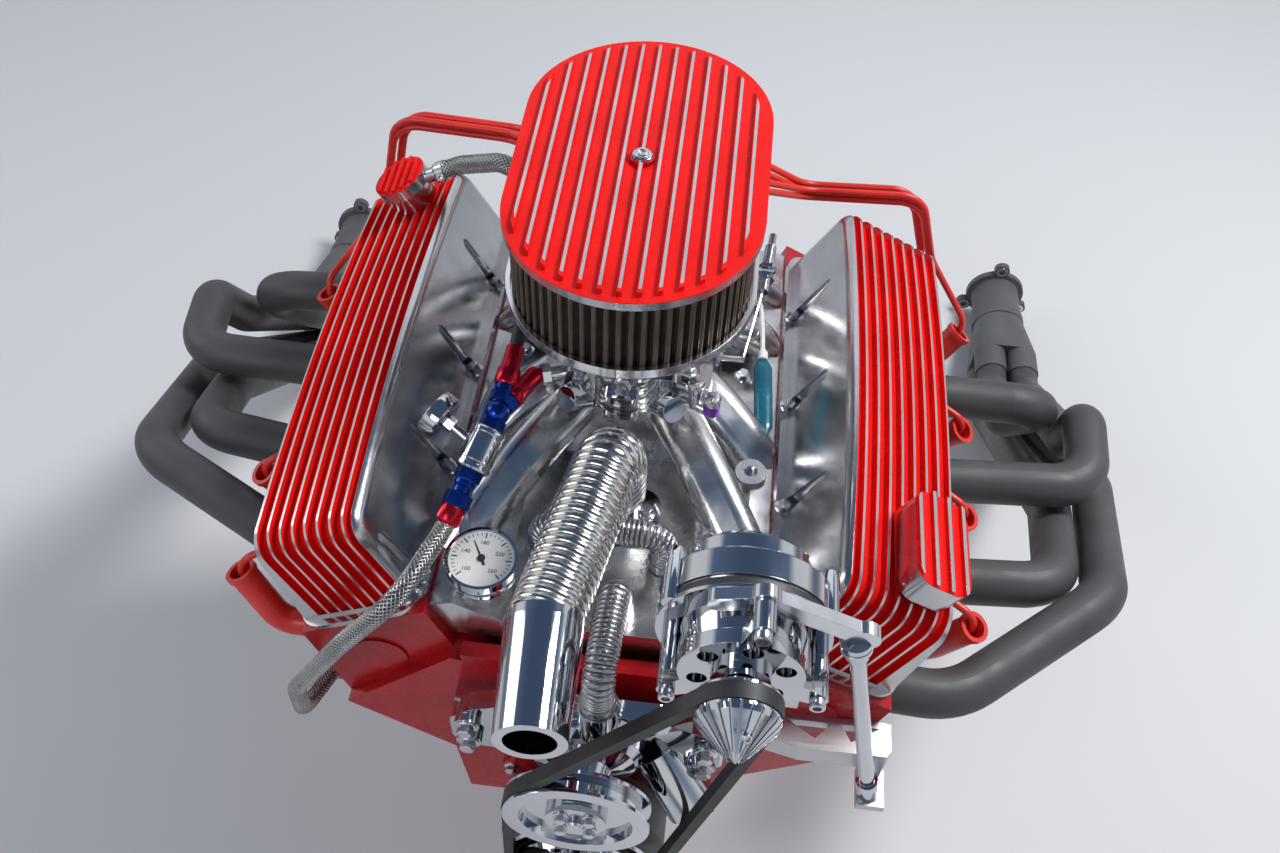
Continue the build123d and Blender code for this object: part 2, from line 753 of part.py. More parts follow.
def air_filter():
    width = cleaner_width - 2 * element_inset
    length = cleaner_length - 2 * element_inset
    around = 2 * (length - width) + math.pi * width
    steps = 2 * pleat_count
    pleats = [stadium_point((index + 0.5) * around / steps, width, length, pleat_depth * (index % 2))
              for index in range(steps)]
    outer = make_face(Polyline(*pleats, close=True))
    inner = stadium(cleaner_width, cleaner_length, element_inset + element_thickness)
    return at_cleaner(extrude(outer - inner, amount=element_height), cleaner_base_z + 4)


def air_cleaner_lid():
    low = cleaner_base_z + 4 + element_height
    plate = extrude(stadium(cleaner_width, cleaner_length), amount=lid_thickness)
    field = extrude(stadium(cleaner_width, cleaner_length, lid_border), amount=lid_thickness)
    pitch = (cleaner_width - 2 * lid_border) / lid_fin_count
    fins = None
    for index in range(lid_fin_count):
        x = (index - (lid_fin_count - 1) / 2) * pitch
        fin = Pos(x, 0, lid_thickness) * Box(lid_fin_width, cleaner_length, 2 * lid_fin_height)
        fins = fin if fins is None else fins + fin
    fins = fins & (Pos(0, 0, lid_thickness - 1) * field)
    return at_cleaner(plate + fins, low)


# Front of the engine

def timing_cover():
    plate = prism_y([(-70, -54), (70, -54), (84, 30), (44, 104), (-44, 104), (-84, 30)],
                    block_front_y - 14, block_front_y, 16)
    boss = turned_y([(0, block_front_y - 22), (40, block_front_y - 22),
                     (46, block_front_y - 10), (0, block_front_y - 10)])
    seat = turned_y([(0, belt_plane_y), (22, belt_plane_y), (22, block_front_y + 5), (0, block_front_y + 5)])
    return plate + boss - seat


def water_pump():
    rear = block_front_y - 16
    profile = [(0, rear - 54), (20, rear - 54), (24, rear - 39), (44, rear - 32),
               (50, rear - 25), (50, rear - 9), (42, rear), (0, rear)]
    hub = turned_y(profile, 0, pump_z)
    wings = [(-118, 124), (-96, 112), (-40, 108), (40, 108), (96, 112), (118, 124),
             (118, 160), (100, 178), (60, 196), (-60, 196), (-100, 178), (-118, 160)]
    body = hub + prism_y(wings, rear - 17, rear, 9)
    for side in (-1, 1):
        for level in pump_bolt_levels:
            body += rod((side * pump_bolt_x, rear - 24, level), (side * pump_bolt_x, rear, level), 11)
        body += Pos(side * 98, 0, 0) * span(-18, 18, block_front_y - 18, block_front_y, 120, 168)
    body += rod((60, rear - 9, 130), (98, rear - 41, 92), 24)
    body += rod((bypass_route[0][0], bypass_y, 180), bypass_route[0], 17)
    return body


def pulley_profile(radius, half_width, hub_radius, front, rear):
    # A grooved rim on a web, as (radius, y) pairs from the hub's front round to its rear
    groove = radius - belt_thickness
    low = belt_plane_y - half_width
    high = belt_plane_y + half_width
    side = belt_width / 2 + belt_gap
    return [(0, front), (hub_radius, front), (hub_radius, belt_plane_y - 3),
            (radius - 16, belt_plane_y - 3), (radius - 14, low), (radius, low),
            (radius, belt_plane_y - side), (groove, belt_plane_y - side),
            (groove, belt_plane_y + side), (radius, belt_plane_y + side),
            (radius, high), (radius - 14, high), (radius - 16, belt_plane_y + 3),
            (hub_radius, belt_plane_y + 3), (hub_radius, rear), (0, rear)]


def crank_pulley():
    return turned_y(pulley_profile(crank_pulley_radius, 11, 34, belt_plane_y - 12, damper_front_y))


def damper():
    rear = block_front_y - 27
    rim = [(0, damper_front_y), (34, damper_front_y), (34, damper_front_y + 4),
           (damper_radius, damper_front_y + 4), (damper_radius, rear), (40, rear), (40, rear + 4),
           (20, rear + 4), (20, block_front_y - 1), (0, block_front_y - 1)]
    return turned_y(rim)


def crank_flange():
    flange = turned_y([(0, -20), (44, -20), (44, -1), (0, -1)])
    for step in range(flange_bolt_count):
        turn = math.radians(360 * step / flange_bolt_count)
        x = flange_bolt_circle / 2 * math.cos(turn)
        z = flange_bolt_circle / 2 * math.sin(turn)
        flange -= rod((x, -8, z), (x, 0, z), flange_bolt_radius)
    return flange


def pump_pulley():
    profile = pulley_profile(pump_pulley_radius, 10, 26, belt_plane_y - 10, belt_plane_y + 17)
    return turned_y(profile, 0, pump_z)


def alternator_case():
    profile = [(0, alternator_rear_y), (alternator_drum_radius - 6, alternator_rear_y),
               (alternator_drum_radius, alternator_rear_y - 6),
               (alternator_drum_radius, alternator_ring_y + 2),
               (alternator_radius - 2, alternator_ring_y), (alternator_radius, alternator_ring_y - 2),
               (alternator_radius, alternator_seam_y), (alternator_radius - 3, alternator_seam_y),
               (alternator_radius - 3, alternator_lip_y), (alternator_radius, alternator_lip_y),
               (alternator_radius, brace_rear_y), (46, brace_rear_y), (42, spider_rear_y),
               (46, spider_rear_y), (46, spider_front_y), (22, spider_front_y),
               (22, spider_front_y - 6), (0, spider_front_y - 6)]
    case = turned_y(profile, alternator_x, alternator_z)
    for angle in post_angles:
        x = alternator_x + post_ring_radius * math.cos(math.radians(angle))
        z = alternator_z + post_ring_radius * math.sin(math.radians(angle))
        clamped = brace_thickness + 0.3 if angle == post_angles[0] else 0
        case += rod((x, brace_rear_y - clamped, z), (x, spider_front_y, z), post_radius)
        turn = math.radians(angle)
        side = (-math.sin(turn) * 13, math.cos(turn) * 13)
        hub = (alternator_x + 30 * math.cos(turn), alternator_z + 30 * math.sin(turn))
        arm = [(hub[0] - side[0], hub[1] - side[1]), (x - side[0] * 0.6, z - side[1] * 0.6),
               (x + side[0] * 0.6, z + side[1] * 0.6), (hub[0] + side[0], hub[1] + side[1])]
        case += prism_y(arm, spider_front_y, spider_rear_y)
    for step in range(6):
        turn = math.radians(60 * step + 20)
        x = alternator_x + 33 * math.cos(turn)
        z = alternator_z + 33 * math.sin(turn)
        case -= rod((x, spider_front_y - 1, z), (x, spider_rear_y + 4, z), 7.5)
        case -= rod((x, alternator_rear_y + 1, z), (x, alternator_rear_y - 8, z), 6)
    return case


def alternator_rotor():
    half = 9.0
    low = belt_plane_y - half
    high = belt_plane_y + half
    groove = alternator_pulley_radius - belt_thickness
    side = belt_width / 2 + belt_gap
    tip = low - 32
    profile = [(0, tip), (3, tip), (alternator_pulley_radius - 2, low - 4), (alternator_pulley_radius, low),
               (alternator_pulley_radius, belt_plane_y - side), (groove, belt_plane_y - side),
               (groove, belt_plane_y + side), (alternator_pulley_radius, belt_plane_y + side),
               (alternator_pulley_radius, high), (12, high),
               (12, spider_front_y - 7), (0, spider_front_y - 7)]
    rotor = turned_y(profile, 0, 0)
    flute = Rot(43, 0, 0) * Box(1.6, 60, 3)
    for step in range(nose_flute_count):
        rotor -= Rot(0, step * 360 / nose_flute_count, 0) * Pos(0, (tip + low) / 2, 16.5) * flute
    return Pos(alternator_x, 0, alternator_z) * rotor


def belt():
    # One loop round three circles, each given as x, z and the radius at the belt's outer face
    wheels = [(0.0, 0.0, crank_pulley_radius + belt_proud),
              (alternator_x, alternator_z, alternator_pulley_radius + belt_proud),
              (0.0, pump_z, pump_pulley_radius + belt_proud)]

    def hull(trim):
        spots = []
        for (x0, z0, r0), (x1, z1, r1) in zip(wheels, wheels[1:] + wheels[:1]):
            away = math.hypot(x1 - x0, z1 - z0)
            along = math.atan2(z1 - z0, x1 - x0)
            lean = math.acos((r0 - r1) / away)
            normal = along - lean
            for x, z, r in ((x0, z0, r0), (x1, z1, r1)):
                spots.append((x + (r - trim) * math.cos(normal), z + (r - trim) * math.sin(normal)))
        edges = []
        count = len(spots)
        for index in range(0, count, 2):
            edges.append(Line(spots[index], spots[index + 1]))
            x, z, r = wheels[(index // 2 + 1) % len(wheels)]
            a = spots[index + 1]
            b = spots[(index + 2) % count]
            start = math.atan2(a[1] - z, a[0] - x)
            sweep_angle = (math.atan2(b[1] - z, b[0] - x) - start) % (2 * math.pi)
            middle = start + sweep_angle / 2
            top = (x + (r - trim) * math.cos(middle), z + (r - trim) * math.sin(middle))
            edges.append(ThreePointArc(a, top, b))
        return make_face(Curve() + edges)

    ring = hull(0.0) - hull(belt_thickness + belt_proud - belt_gap)
    plane = Plane((0, belt_plane_y - belt_width / 2, 0), x_dir=(1, 0, 0), z_dir=(0, -1, 0))
    return extrude(plane * ring, amount=-belt_width)


# Exhaust

def port_normal():
    return Vector(math.sin(port_slope), 0, -math.cos(port_slope))


def engine_mount():
    low_z = mount_z - 18
    high_z = mount_z + 54
    foot = prism_y([(block_side(low_z), low_z), (block_side(low_z) + 10, low_z),
                    (block_side(high_z) + 10, high_z), (block_side(high_z), high_z)],
                   mount_y - 44, mount_y + 44)
    low = mount_y - mount_length / 2
    high = mount_y + mount_length / 2
    web = prism_y([(block_side(low_z) + 8, mount_z - 16), (mount_x, mount_z - 16),
                   (mount_x + 4, mount_z + 15), (block_side(high_z) + 8, high_z - 10)], low, high)
    eye = rod((mount_x, low, mount_z), (mount_x, high, mount_z), 16)
    bore = rod((mount_x, low - 1, mount_z), (mount_x, high + 1, mount_z), mount_bore_radius)
    return foot + web + eye - bore


def fuel_pump():
    centre = fuel_pump_place
    foot = prism_y([(-block_side(-10), -10), (-block_side(-10) - 9, -10),
                    (-block_side(30) - 9, 30), (-block_side(30), 30)], centre[1] - 32, centre[1] + 32)
    arm = span(centre[0], -block_side(-10) - 4, centre[1] - 18, centre[1] + 18, -6, 26)
    profile = [(0, -20), (24, -20), (34, -12), (34, 4), (38, 6),
               (38, 14), (34, 16), (30, 30), (18, 36), (0, 36)]
    body = turned_z(profile, *centre)
    spout = rod((centre[0] - 20, centre[1], pump_outlet[2]), pump_outlet, 6)
    return foot + arm + body + spout


def starter():
    profile = [(0, -206), (30, -206), (38, -198), (38, -70), (42, -66),
               (42, -rear_flange_thickness), (0, -rear_flange_thickness)]
    solenoid = rod((-206, -150, -62), (-206, -rear_flange_thickness - 20, -62), 20)
    return turned_y(profile, -162, -80) + solenoid


def oil_filter():
    profile = [(0, -150), (30, -150), (38, -142), (38, pan_rail_z), (0, pan_rail_z)]
    return turned_z(profile, 158, -75)


def alternator_bracket():
    outline = [(126, 214), (172, 214), (160, 250), (150, 306), (82, 306), (96, 270), (126, 250)]
    plate = prism_y(outline, bracket_front_y, bracket_front_y + 14)
    plate += span(126, 172, bracket_front_y, head_front_y, 214, 236)
    plate -= rod((134, bracket_front_y - 1, 266), (134, bracket_front_y + 15, 266), 9)
    case_way = rod((alternator_x, belt_plane_y, alternator_z),
                   (alternator_x, alternator_rear_y, alternator_z), alternator_radius)
    return plate - case_way


def alternator_brace():
    left, corner, right = brace_line
    plane = Plane((0, brace_rear_y, 0), x_dir=(1, 0, 0), z_dir=(0, -1, 0))
    outline = offset(Polyline(left, corner, right), amount=brace_width / 2, side=Side.BOTH)
    bar = make_face(outline) + Pos(*right) * Circle(11) + Pos(*corner) * Circle(11)
    return extrude(plane * bar, amount=brace_thickness)


def adjusting_rod():
    top = Vector(*rod_top)
    foot = Vector(*rod_foot, rod_seat_z - 10)
    down = (foot - top).normalized()
    stem = rod(tuple(top), tuple(foot), rod_radius)
    stem += rod(tuple(top), tuple(top + down * 4), rod_radius + 5.5)
    stem += rod(tuple(top + down * 4), tuple(top + down * 16), rod_radius + 2)
    stem += rod(tuple(foot - down * 34), tuple(foot), rod_radius + 3)
    floor = span(rod_foot[0] - 40, rod_foot[0] + 40, rod_foot[1] - 30, rod_foot[1] + 30,
                 rod_seat_z - 40, rod_seat_z)
    return stem - floor


def lower_bracket():
    # A ledge on the head's front with a lip along its edge, two windows, and a seat for the rod
    points = [(142, block_front_y), (142, bracket_lip_y + 8), (180, bracket_lip_y),
              (bracket_outer_x - 4, bracket_lip_y), (bracket_outer_x, bracket_lip_y + 6),
              (bracket_outer_x, block_front_y - 1), (bracket_outer_x - 8, block_front_y)]
    face = make_face(Polyline(*points, close=True))
    back = block_front_y - 6
    tip = bracket_lip_y + 10
    inner = make_face(Polyline((168, back), (206, back), (192, tip), close=True))
    outer = make_face(Polyline((214, back), (246, back), (222, tip), close=True))
    plate = extrude(face - inner - outer, amount=bracket_thickness)
    lip = extrude(face - Pos(0, bracket_wall, 0) * face, amount=bracket_thickness - bracket_depth)
    low = bracket_top_z - bracket_depth
    x0 = rod_foot[0] - rod_seat_width / 2
    x1 = rod_foot[0] + rod_seat_width / 2
    rear = bracket_lip_y + bracket_wall
    seat = span(x0, x1, rod_foot[1] - rod_seat_width / 2, rear, rod_seat_z - rod_seat_thickness, rod_seat_z)
    seat += span(x0, bracket_outer_x - 4, bracket_lip_y, rear, rod_seat_z - rod_seat_thickness, low)
    return Pos(0, 0, bracket_top_z - bracket_thickness) * (plate + lip) + seat


def primary(row, side):
    port_y, reach, bends, turn_y, (column, level), radii = row
    normal = port_normal()
    start = Vector(port_x, port_y, port_z) + normal * tube_seat
    end_x = collector_x + column * collector_spread
    end_z = collector_z + level * collector_spread
    end_y = collector_y[side] + socket_length - 2
    points = [tuple(start), (reach, port_y, bends[0][2]), *bends,
              (end_x, turn_y, end_z), (end_x, end_y, end_z)]
    path = FilletPolyline(*points, radius=list(radii))
    return sweep(Plane(origin=path @ 0, z_dir=path % 0) * Circle(primary_radius), path=path)


def header(side):
    # One welded piece: the long flange on the head and its four primary tubes
    rows = primaries[side]
    first = rows[0][0]
    last = rows[-1][0]
    plane = Plane(origin=(port_x, 0, port_z), x_dir=(0, 1, 0), z_dir=port_normal())
    plate_length = last - first + 2 * port_pad_radius - 4
    plate = Pos((first + last) / 2, 0, 0) * RectangleRounded(plate_length, flange_height, 8)
    for row in rows:
        plate += Pos(row[0], 0, 0) * Circle(port_pad_radius)
    solid = extrude(plane * plate, amount=flange_thickness)
    for row in rows:
        solid += primary(row, side)
    return solid


def across_collector(y, size, corner):
    plane = Plane((collector_x, y, collector_z), x_dir=(1, 0, 0), z_dir=(0, 1, 0))
    return plane * RectangleRounded(size, size, corner)


def collector_core(start, half, end_half):
    # Tapers from the square group of four tubes to one round pipe
    wide = across_collector(start, 2 * half, half - collector_spread)
    narrow = across_collector(start + collector_cone, 2 * end_half, end_half - 2)
    return loft([wide, narrow])


def collector(side):
    mouth = collector_y[side]
    start = mouth + socket_length
    end = mouth + collector_length
    outer = primary_radius + socket_gap + socket_wall
    body = collector_core(start, collector_spread + outer, collector_radius)
    body += rod((collector_x, start + collector_cone - 1, collector_z),
                (collector_x, end, collector_z), collector_radius)
    body += rod((collector_x, start + collector_cone - 6, collector_z),
                (collector_x, start + collector_cone + 8, collector_z), collector_radius + 3)
    sockets = [(collector_x + column * collector_spread, collector_z + level * collector_spread)
               for column in (-1, 1) for level in (-1, 1)]
    for x, z in sockets:
        body += rod((x, mouth, z), (x, start + 1, z), outer)
    body += rod((collector_x, end - collector_flange_thickness, collector_z),
                (collector_x, end, collector_z), collector_flange_radius)
    turns = [math.radians(90 + 120 * step) for step in range(3)]
    bolts = [(collector_x + collector_bolt_circle / 2 * math.cos(turn),
              collector_z + collector_bolt_circle / 2 * math.sin(turn)) for turn in turns]
    for x, z in bolts:
        body += rod((x, end - collector_flange_thickness, z), (x, end, z), 12)
    for x, z in bolts:
        body -= rod((x, end - collector_flange_thickness - 1, z), (x, end + 1, z), collector_bolt_radius)
    for x, z in sockets:
        body -= rod((x, mouth - 1, z), (x, start + 6, z), primary_radius + socket_gap)
    inner = collector_radius - collector_wall
    body -= collector_core(start + 4, collector_spread + outer - collector_wall, inner)
    return body - rod((collector_x, start + collector_cone - 2, collector_z),
                      (collector_x, end + 1, collector_z), inner)


# Gauges and small hoses

def fuel_hose():
    # Braided hose held by the filter's outlet and the pump's outlet
    outlet = Vector(*filter_outlet)
    leave = (outlet - Vector(*tee_place)).normalized()
    pump_end = Vector(*pump_outlet)
    away = (pump_end - Vector(fuel_pump_place[0] - 20, fuel_pump_place[1], pump_outlet[2])).normalized()
    route = [tuple(outlet + leave * seat_gap), tuple(outlet + leave * 32), *fuel_hose_bends,
             tuple(pump_end + away * 28), tuple(pump_end + away * seat_gap)]
    return bent_rod(route, fuel_hose_radius, 40)


def temperature_gauge():
    # A dial on the filler neck's cap, facing up
    low = gauge_top - gauge_height
    profile = [(0, low), (gauge_radius - 5, low), (gauge_radius - 1, low + 8), (gauge_radius - 1, low + 12),
               (gauge_radius - 5, low + 14), (gauge_radius, low + 18), (gauge_radius, gauge_top),
               (gauge_radius - 3, gauge_top), (gauge_radius - 3, gauge_top - 2), (0, gauge_top - 2)]
    return turned_z(profile, *gauge_place)


def fuel_filter():
    # Tee, filter body and pressure gauge in line, between the carburettor and the braided hose
    tee = Vector(*tee_place)
    near, far = [Vector(*end) for end in filter_ends]
    inlet_end, inlet_way = fuel_inlet(-1)
    inlet = inlet_end + inlet_way * seat_gap
    turn = inlet + inlet_way * 14
    solid = rod(tuple(near), tuple(far), filter_radius) + rod(tuple(tee), filter_outlet, 7)
    solid += Pos(*tee_place) * Sphere(11) + rod(tuple(inlet), tuple(turn), 7)
    solid += Pos(*tuple(turn)) * Sphere(7) + rod(tuple(turn), tuple(tee), 7)
    solid += rod(tuple(tee), (tee.X + 6, tee.Y + 60, tee.Z + 16), 7)
    gauge_start = near + (far - near) * 0.5
    gauge = Vector(*fuel_gauge_place)
    face = (gauge - gauge_start).normalized()
    solid += rod(tuple(gauge_start), tuple(gauge), 5)
    return solid + rod(tuple(gauge), tuple(gauge + face * 14), 20)


add("block", block())
add("oil_pan", oil_pan())
add("head_right", head("right"))
add("head_left", mirrored(head("left"), 0))
add("valve_cover_right", in_cover(valve_cover(cap_shape(seat_gap))))
add("valve_cover_left", mirrored(in_cover(valve_cover(breather_shape(seat_gap)))))
add("filler_cap", in_cover(filler_cap()))
add("breather", mirrored(in_cover(breather())))
add("intake_manifold", intake_manifold())
add("carburettor", carburettor())
add("air_cleaner_base", air_cleaner_base())
add("air_filter", air_filter())
add("air_cleaner_lid", air_cleaner_lid())
add("water_outlet", water_outlet())
add("radiator_hose", radiator_hose())
add("hose_sleeve", hose_sleeve())
add("distributor", distributor())
add("distributor_cap", distributor_cap())
for side in ("right", "left"):
    add(f"plug_boots_{side}", banked(plug_boots(side), side))
    add(f"plug_wires_{side}", banked(plug_wires(side), side))
add("timing_cover", timing_cover())
add("water_pump", water_pump())
add("crank_damper", damper())
add("crank_pulley", crank_pulley())
add("crank_flange", crank_flange())
add("pump_pulley", pump_pulley())
add("alternator_case", alternator_case())
add("alternator_rotor", alternator_rotor())
add("alternator_bracket", alternator_bracket())
add("alternator_brace", alternator_brace())
add("adjusting_rod", adjusting_rod())
add("lower_bracket", lower_bracket())
add("belt", belt())
add("engine_mount_right", engine_mount())
add("engine_mount_left", mirrored(engine_mount()))
add("fuel_pump", fuel_pump())
add("starter", starter())
add("oil_filter", oil_filter())
for side in ("right", "left"):
    add(f"header_{side}", banked(header(side), side))
    add(f"collector_{side}", banked(collector(side), side))
add("temperature_gauge", temperature_gauge())
add("fuel_filter", fuel_filter())
add("fuel_hose", fuel_hose())
add("breather_hose", breather_hose())
add("bypass_hose", bent_rod(bypass_route, bypass_radius))
add("heater_hose", bent_rod(heater_route, heater_radius))

os.makedirs("parts", exist_ok=True)
for name, solid in nodes.items():
    export_step(solid, f"parts/{name}.step")
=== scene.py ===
import math

import bpy
import bmesh
from mathutils import Matrix, Vector


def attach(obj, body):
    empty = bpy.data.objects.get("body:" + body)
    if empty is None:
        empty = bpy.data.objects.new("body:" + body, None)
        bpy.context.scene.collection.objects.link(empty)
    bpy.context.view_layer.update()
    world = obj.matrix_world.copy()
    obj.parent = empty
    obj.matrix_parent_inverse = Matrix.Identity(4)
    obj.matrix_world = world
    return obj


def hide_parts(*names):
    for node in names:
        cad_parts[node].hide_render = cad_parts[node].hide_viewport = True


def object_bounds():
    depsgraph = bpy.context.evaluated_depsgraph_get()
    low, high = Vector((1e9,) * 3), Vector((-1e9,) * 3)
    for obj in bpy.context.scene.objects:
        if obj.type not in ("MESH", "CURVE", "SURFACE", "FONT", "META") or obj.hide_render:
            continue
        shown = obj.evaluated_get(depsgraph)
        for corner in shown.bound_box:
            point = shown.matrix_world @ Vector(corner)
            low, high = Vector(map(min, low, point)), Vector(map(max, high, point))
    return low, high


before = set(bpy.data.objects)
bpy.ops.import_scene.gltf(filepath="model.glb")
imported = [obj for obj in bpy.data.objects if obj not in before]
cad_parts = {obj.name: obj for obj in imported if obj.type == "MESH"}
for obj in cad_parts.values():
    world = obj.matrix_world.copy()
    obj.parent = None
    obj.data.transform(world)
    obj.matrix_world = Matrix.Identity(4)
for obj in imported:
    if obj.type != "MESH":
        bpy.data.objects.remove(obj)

cad_box = [list(corner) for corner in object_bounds()]

# Sizes below are in millimetres, in the engine's frame; meshes are made in metres.
MM = 0.001
CARB_Y = -197.0
PUMP_Z = 136.0

# The covers' rails: where the right one starts, and how far back the left bank sits
TILT = math.radians(27.4)
RAIL_X = 140.0
RAIL_Z = 255.0
BANK_SHIFT = 6.0

# Fins of the covers, and the levels where paint ends on them, on their caps and on the lid
FIRST_FIN = 19.1
FIN_PITCH = 12.5
FIN_LINE = 1.05
COVER_WALL = 11.7
COVER_OUTER = 107.6
COVER_FOOT = 8.1
POCKET_FRONT = -476.5
POCKET_REAR = -50.0
POCKET_TOP = 80.0
CAP_FOOT = 130.4
CAP_TOP = 134.7
BREATHER_FOOT = 135.2
LID_PITCH = 194.0 / 13
LID_LINE = 1.25
LID_REACH = 93.0
LID_STRAIGHT = 59.5
LID_SIDE = 500.3
LID_TOP = 505.2

# The air filter's outline, and its lowest and highest points
FILTER_WIDTH = 194.0
FILTER_LENGTH = 313.0
FILTER_LOW = 422.5
FILTER_HIGH = 492.8
PLEATS = 88

# Centres of the alternator, its lugs and its nose screw
ALTERNATOR_X = 116.0
ALTERNATOR_Z = 353.0
LUG_REACH = 62.8
NOSE_REACH = 15.4

# The fuel line's tee and the filter's outlet, and the headers' and collectors' flanges
TEE = (-99.0, -353.0, 350.0)
FILTER_OUTLET = (-120.0, -416.0, 319.0)
PORT_SLOPE = math.atan2(196.5555 - 100.0, 252.7529 - 224.0)
PORT_X = 239.5
PORT_Z = 152
COLLECTOR_X = 536
COLLECTOR_Z = -324
COLLECTOR_BOLTS = 52.5


# Mesh helpers

def axes_at(origin, along, across=None):
    """A frame with its origin at a point and its Z along a direction."""
    z = Vector(along).normalized()
    guess = Vector(across) if across is not None else Vector((1, 0, 0))
    if abs(guess.normalized().dot(z)) > 0.98:
        guess = Vector((0, 1, 0))
    y = z.cross(guess).normalized()
    x = y.cross(z)
    turn = Matrix((x, y, z)).transposed().to_4x4()
    return Matrix.Translation(Vector(origin)) @ turn


def hexagon(size):
    return [(size * math.cos(math.radians(60 * k)), size * math.sin(math.radians(60 * k))) for k in range(6)]


def frames_along(path, closed=False):
    """Each point of a path with two directions across it that don't twist."""
    path = [Vector(p) for p in path]
    count = len(path)
    last_x = None
    frames = []
    for i, here in enumerate(path):
        ahead = path[(i + 1) % count] if closed or i < count - 1 else here
        behind = path[i - 1] if closed or i > 0 else here
        z = (ahead - behind).normalized()
        if last_x is None:
            guess = Vector((0, 0, 1)) if abs(z.z) < 0.9 else Vector((1, 0, 0))
            last_x = guess.cross(z).normalized()
        last_x = (last_x - z * last_x.dot(z)).normalized()
        frames.append((here, last_x, z.cross(last_x)))
    return frames


class Shape:
    """Small forms collected into one mesh."""

    def __init__(self):
        self.verts = []
        self.faces = []

    def point(self, place):
        self.verts.append(tuple(place))
        return len(self.verts) - 1

    def join(self, a, b):
        if len(a) == 1 and len(b) == 1:
            return
        count = max(len(a), len(b))
        for k in range(count):
            n = (k + 1) % count
            if len(a) == 1:
                self.faces.append((a[0], b[n], b[k]))
            elif len(b) == 1:
                self.faces.append((a[k], a[n], b[0]))
            else:
                self.faces.append((a[k], a[n], b[n], b[k]))

    def lathe(self, profile, place, segments=24):
        """Turn (radius, height) pairs about the frame's Z."""
        last = None
        for radius, height in profile:
            if radius < 1e-6:
                ring = [self.point(place @ Vector((0, 0, height)))]
            else:
                turns = [2 * math.pi * k / segments for k in range(segments)]
                ring = [self.point(place @ Vector((radius * math.cos(turn), radius * math.sin(turn), height)))
                        for turn in turns]
            if last is not None:
                self.join(last, ring)
            last = ring
        return self

    def prism(self, outline, place, low, high, chamfer=0.0):
        """Extrude an outline of (x, y) pairs, with a small chamfer at its top."""
        middle = Vector((sum(p[0] for p in outline), sum(p[1] for p in outline))) / len(outline)
        levels = [(1.0, low), (1.0, high - chamfer)]
        if chamfer:
            reach = max((Vector(p) - middle).length for p in outline)
            levels.append((1.0 - chamfer / reach, high))
        rings = []
        for scale, height in levels:
            ring = []
            for p in outline:
                flat = middle + (Vector(p) - middle) * scale
                ring.append(self.point(place @ Vector((flat.x, flat.y, height))))
            rings.append(ring)
        for a, b in zip(rings, rings[1:]):
            self.join(a, b)
        self.faces.append(tuple(reversed(rings[0])))
        self.faces.append(tuple(rings[-1]))
        return self

    def tube(self, path, radius, segments=12, closed=False):
        """Sweep a circle along points; the radius may depend on the step and the angle."""
        rings = []
        for i, (here, x, y) in enumerate(frames_along(path, closed)):
            ring = []
            for k in range(segments):
                turn = 2 * math.pi * k / segments
                r = radius(i, turn) if callable(radius) else radius
                ring.append(self.point(here + (x * math.cos(turn) + y * math.sin(turn)) * r))
            rings.append(ring)
        for a, b in zip(rings, rings[1:]):
            self.join(a, b)
        if closed:
            self.join(rings[-1], rings[0])
        else:
            self.faces.append(tuple(reversed(rings[0])))
            self.faces.append(tuple(rings[-1]))
        return self

    def block(self, low, high, place=None, chamfer=0.6):
        """A box between two corners with its top edges chamfered."""
        place = place or Matrix()
        outline = [(low[0], low[1]), (high[0], low[1]), (high[0], high[1]), (low[0], high[1])]
        return self.prism(outline, place, low[2], high[2], chamfer)

    def hex_bolt(self, place, along, size=7.0, height=6.0, washer=True):
        """A hex head on a washer, standing on a surface."""
        at = axes_at(place, along)
        start = 0.0
        if washer:
            self.lathe([(0, 0), (size * 1.3, 0), (size * 1.3, 1.0), (size * 1.15, 1.4), (0, 1.4)], at, 20)
            start = 1.4
        return self.prism(hexagon(size), at, start, start + height, size * 0.12)

    def ball(self, centre, radius, segments=20):
        profile = [(radius * math.sin(math.pi * k / 10), -radius * math.cos(math.pi * k / 10))
                   for k in range(11)]
        return self.lathe(profile, Matrix.Translation(Vector(centre)), segments)

    def socket_screw(self, place, along, size=6.0, height=6.0):
        """A round head with a hexagon socket."""
        at = axes_at(place, along)
        self.lathe([(size, 0), (size, height * 0.85), (size * 0.9, height), (size * 0.55, height)], at, 24)
        rings = []
        for level in (height, height * 0.4):
            ring = []
            for k in range(24):
                turn = math.radians(15 * k)
                flat = 1 - 0.13 * abs(math.sin(math.radians(45 * k)))
                ring.append(self.point(at @ Vector((size * 0.55 * math.cos(turn) * flat,
                                                    size * 0.55 * math.sin(turn) * flat, level))))
            rings.append(ring)
        self.join(rings[0], rings[1])
        self.faces.append(tuple(rings[1]))
        return self

    def done(self, name, material, body="engine", angle=35.0):
        """Make the object, smooth apart from its sharp edges, and let it ride on its body."""
        mesh = bpy.data.meshes.new(name)
        mesh.from_pydata([tuple(c * MM for c in v) for v in self.verts], [], self.faces)
        work = bmesh.new()
        work.from_mesh(mesh)
        bmesh.ops.recalc_face_normals(work, faces=work.faces)
        work.to_mesh(mesh)
        work.free()
        mesh.shade_smooth()
        mesh.set_sharp_from_angle(angle=math.radians(angle))
        mesh.materials.append(material)
        piece = bpy.data.objects.new(name, mesh)
        bpy.context.scene.collection.objects.link(piece)
        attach(piece, body)
        return piece


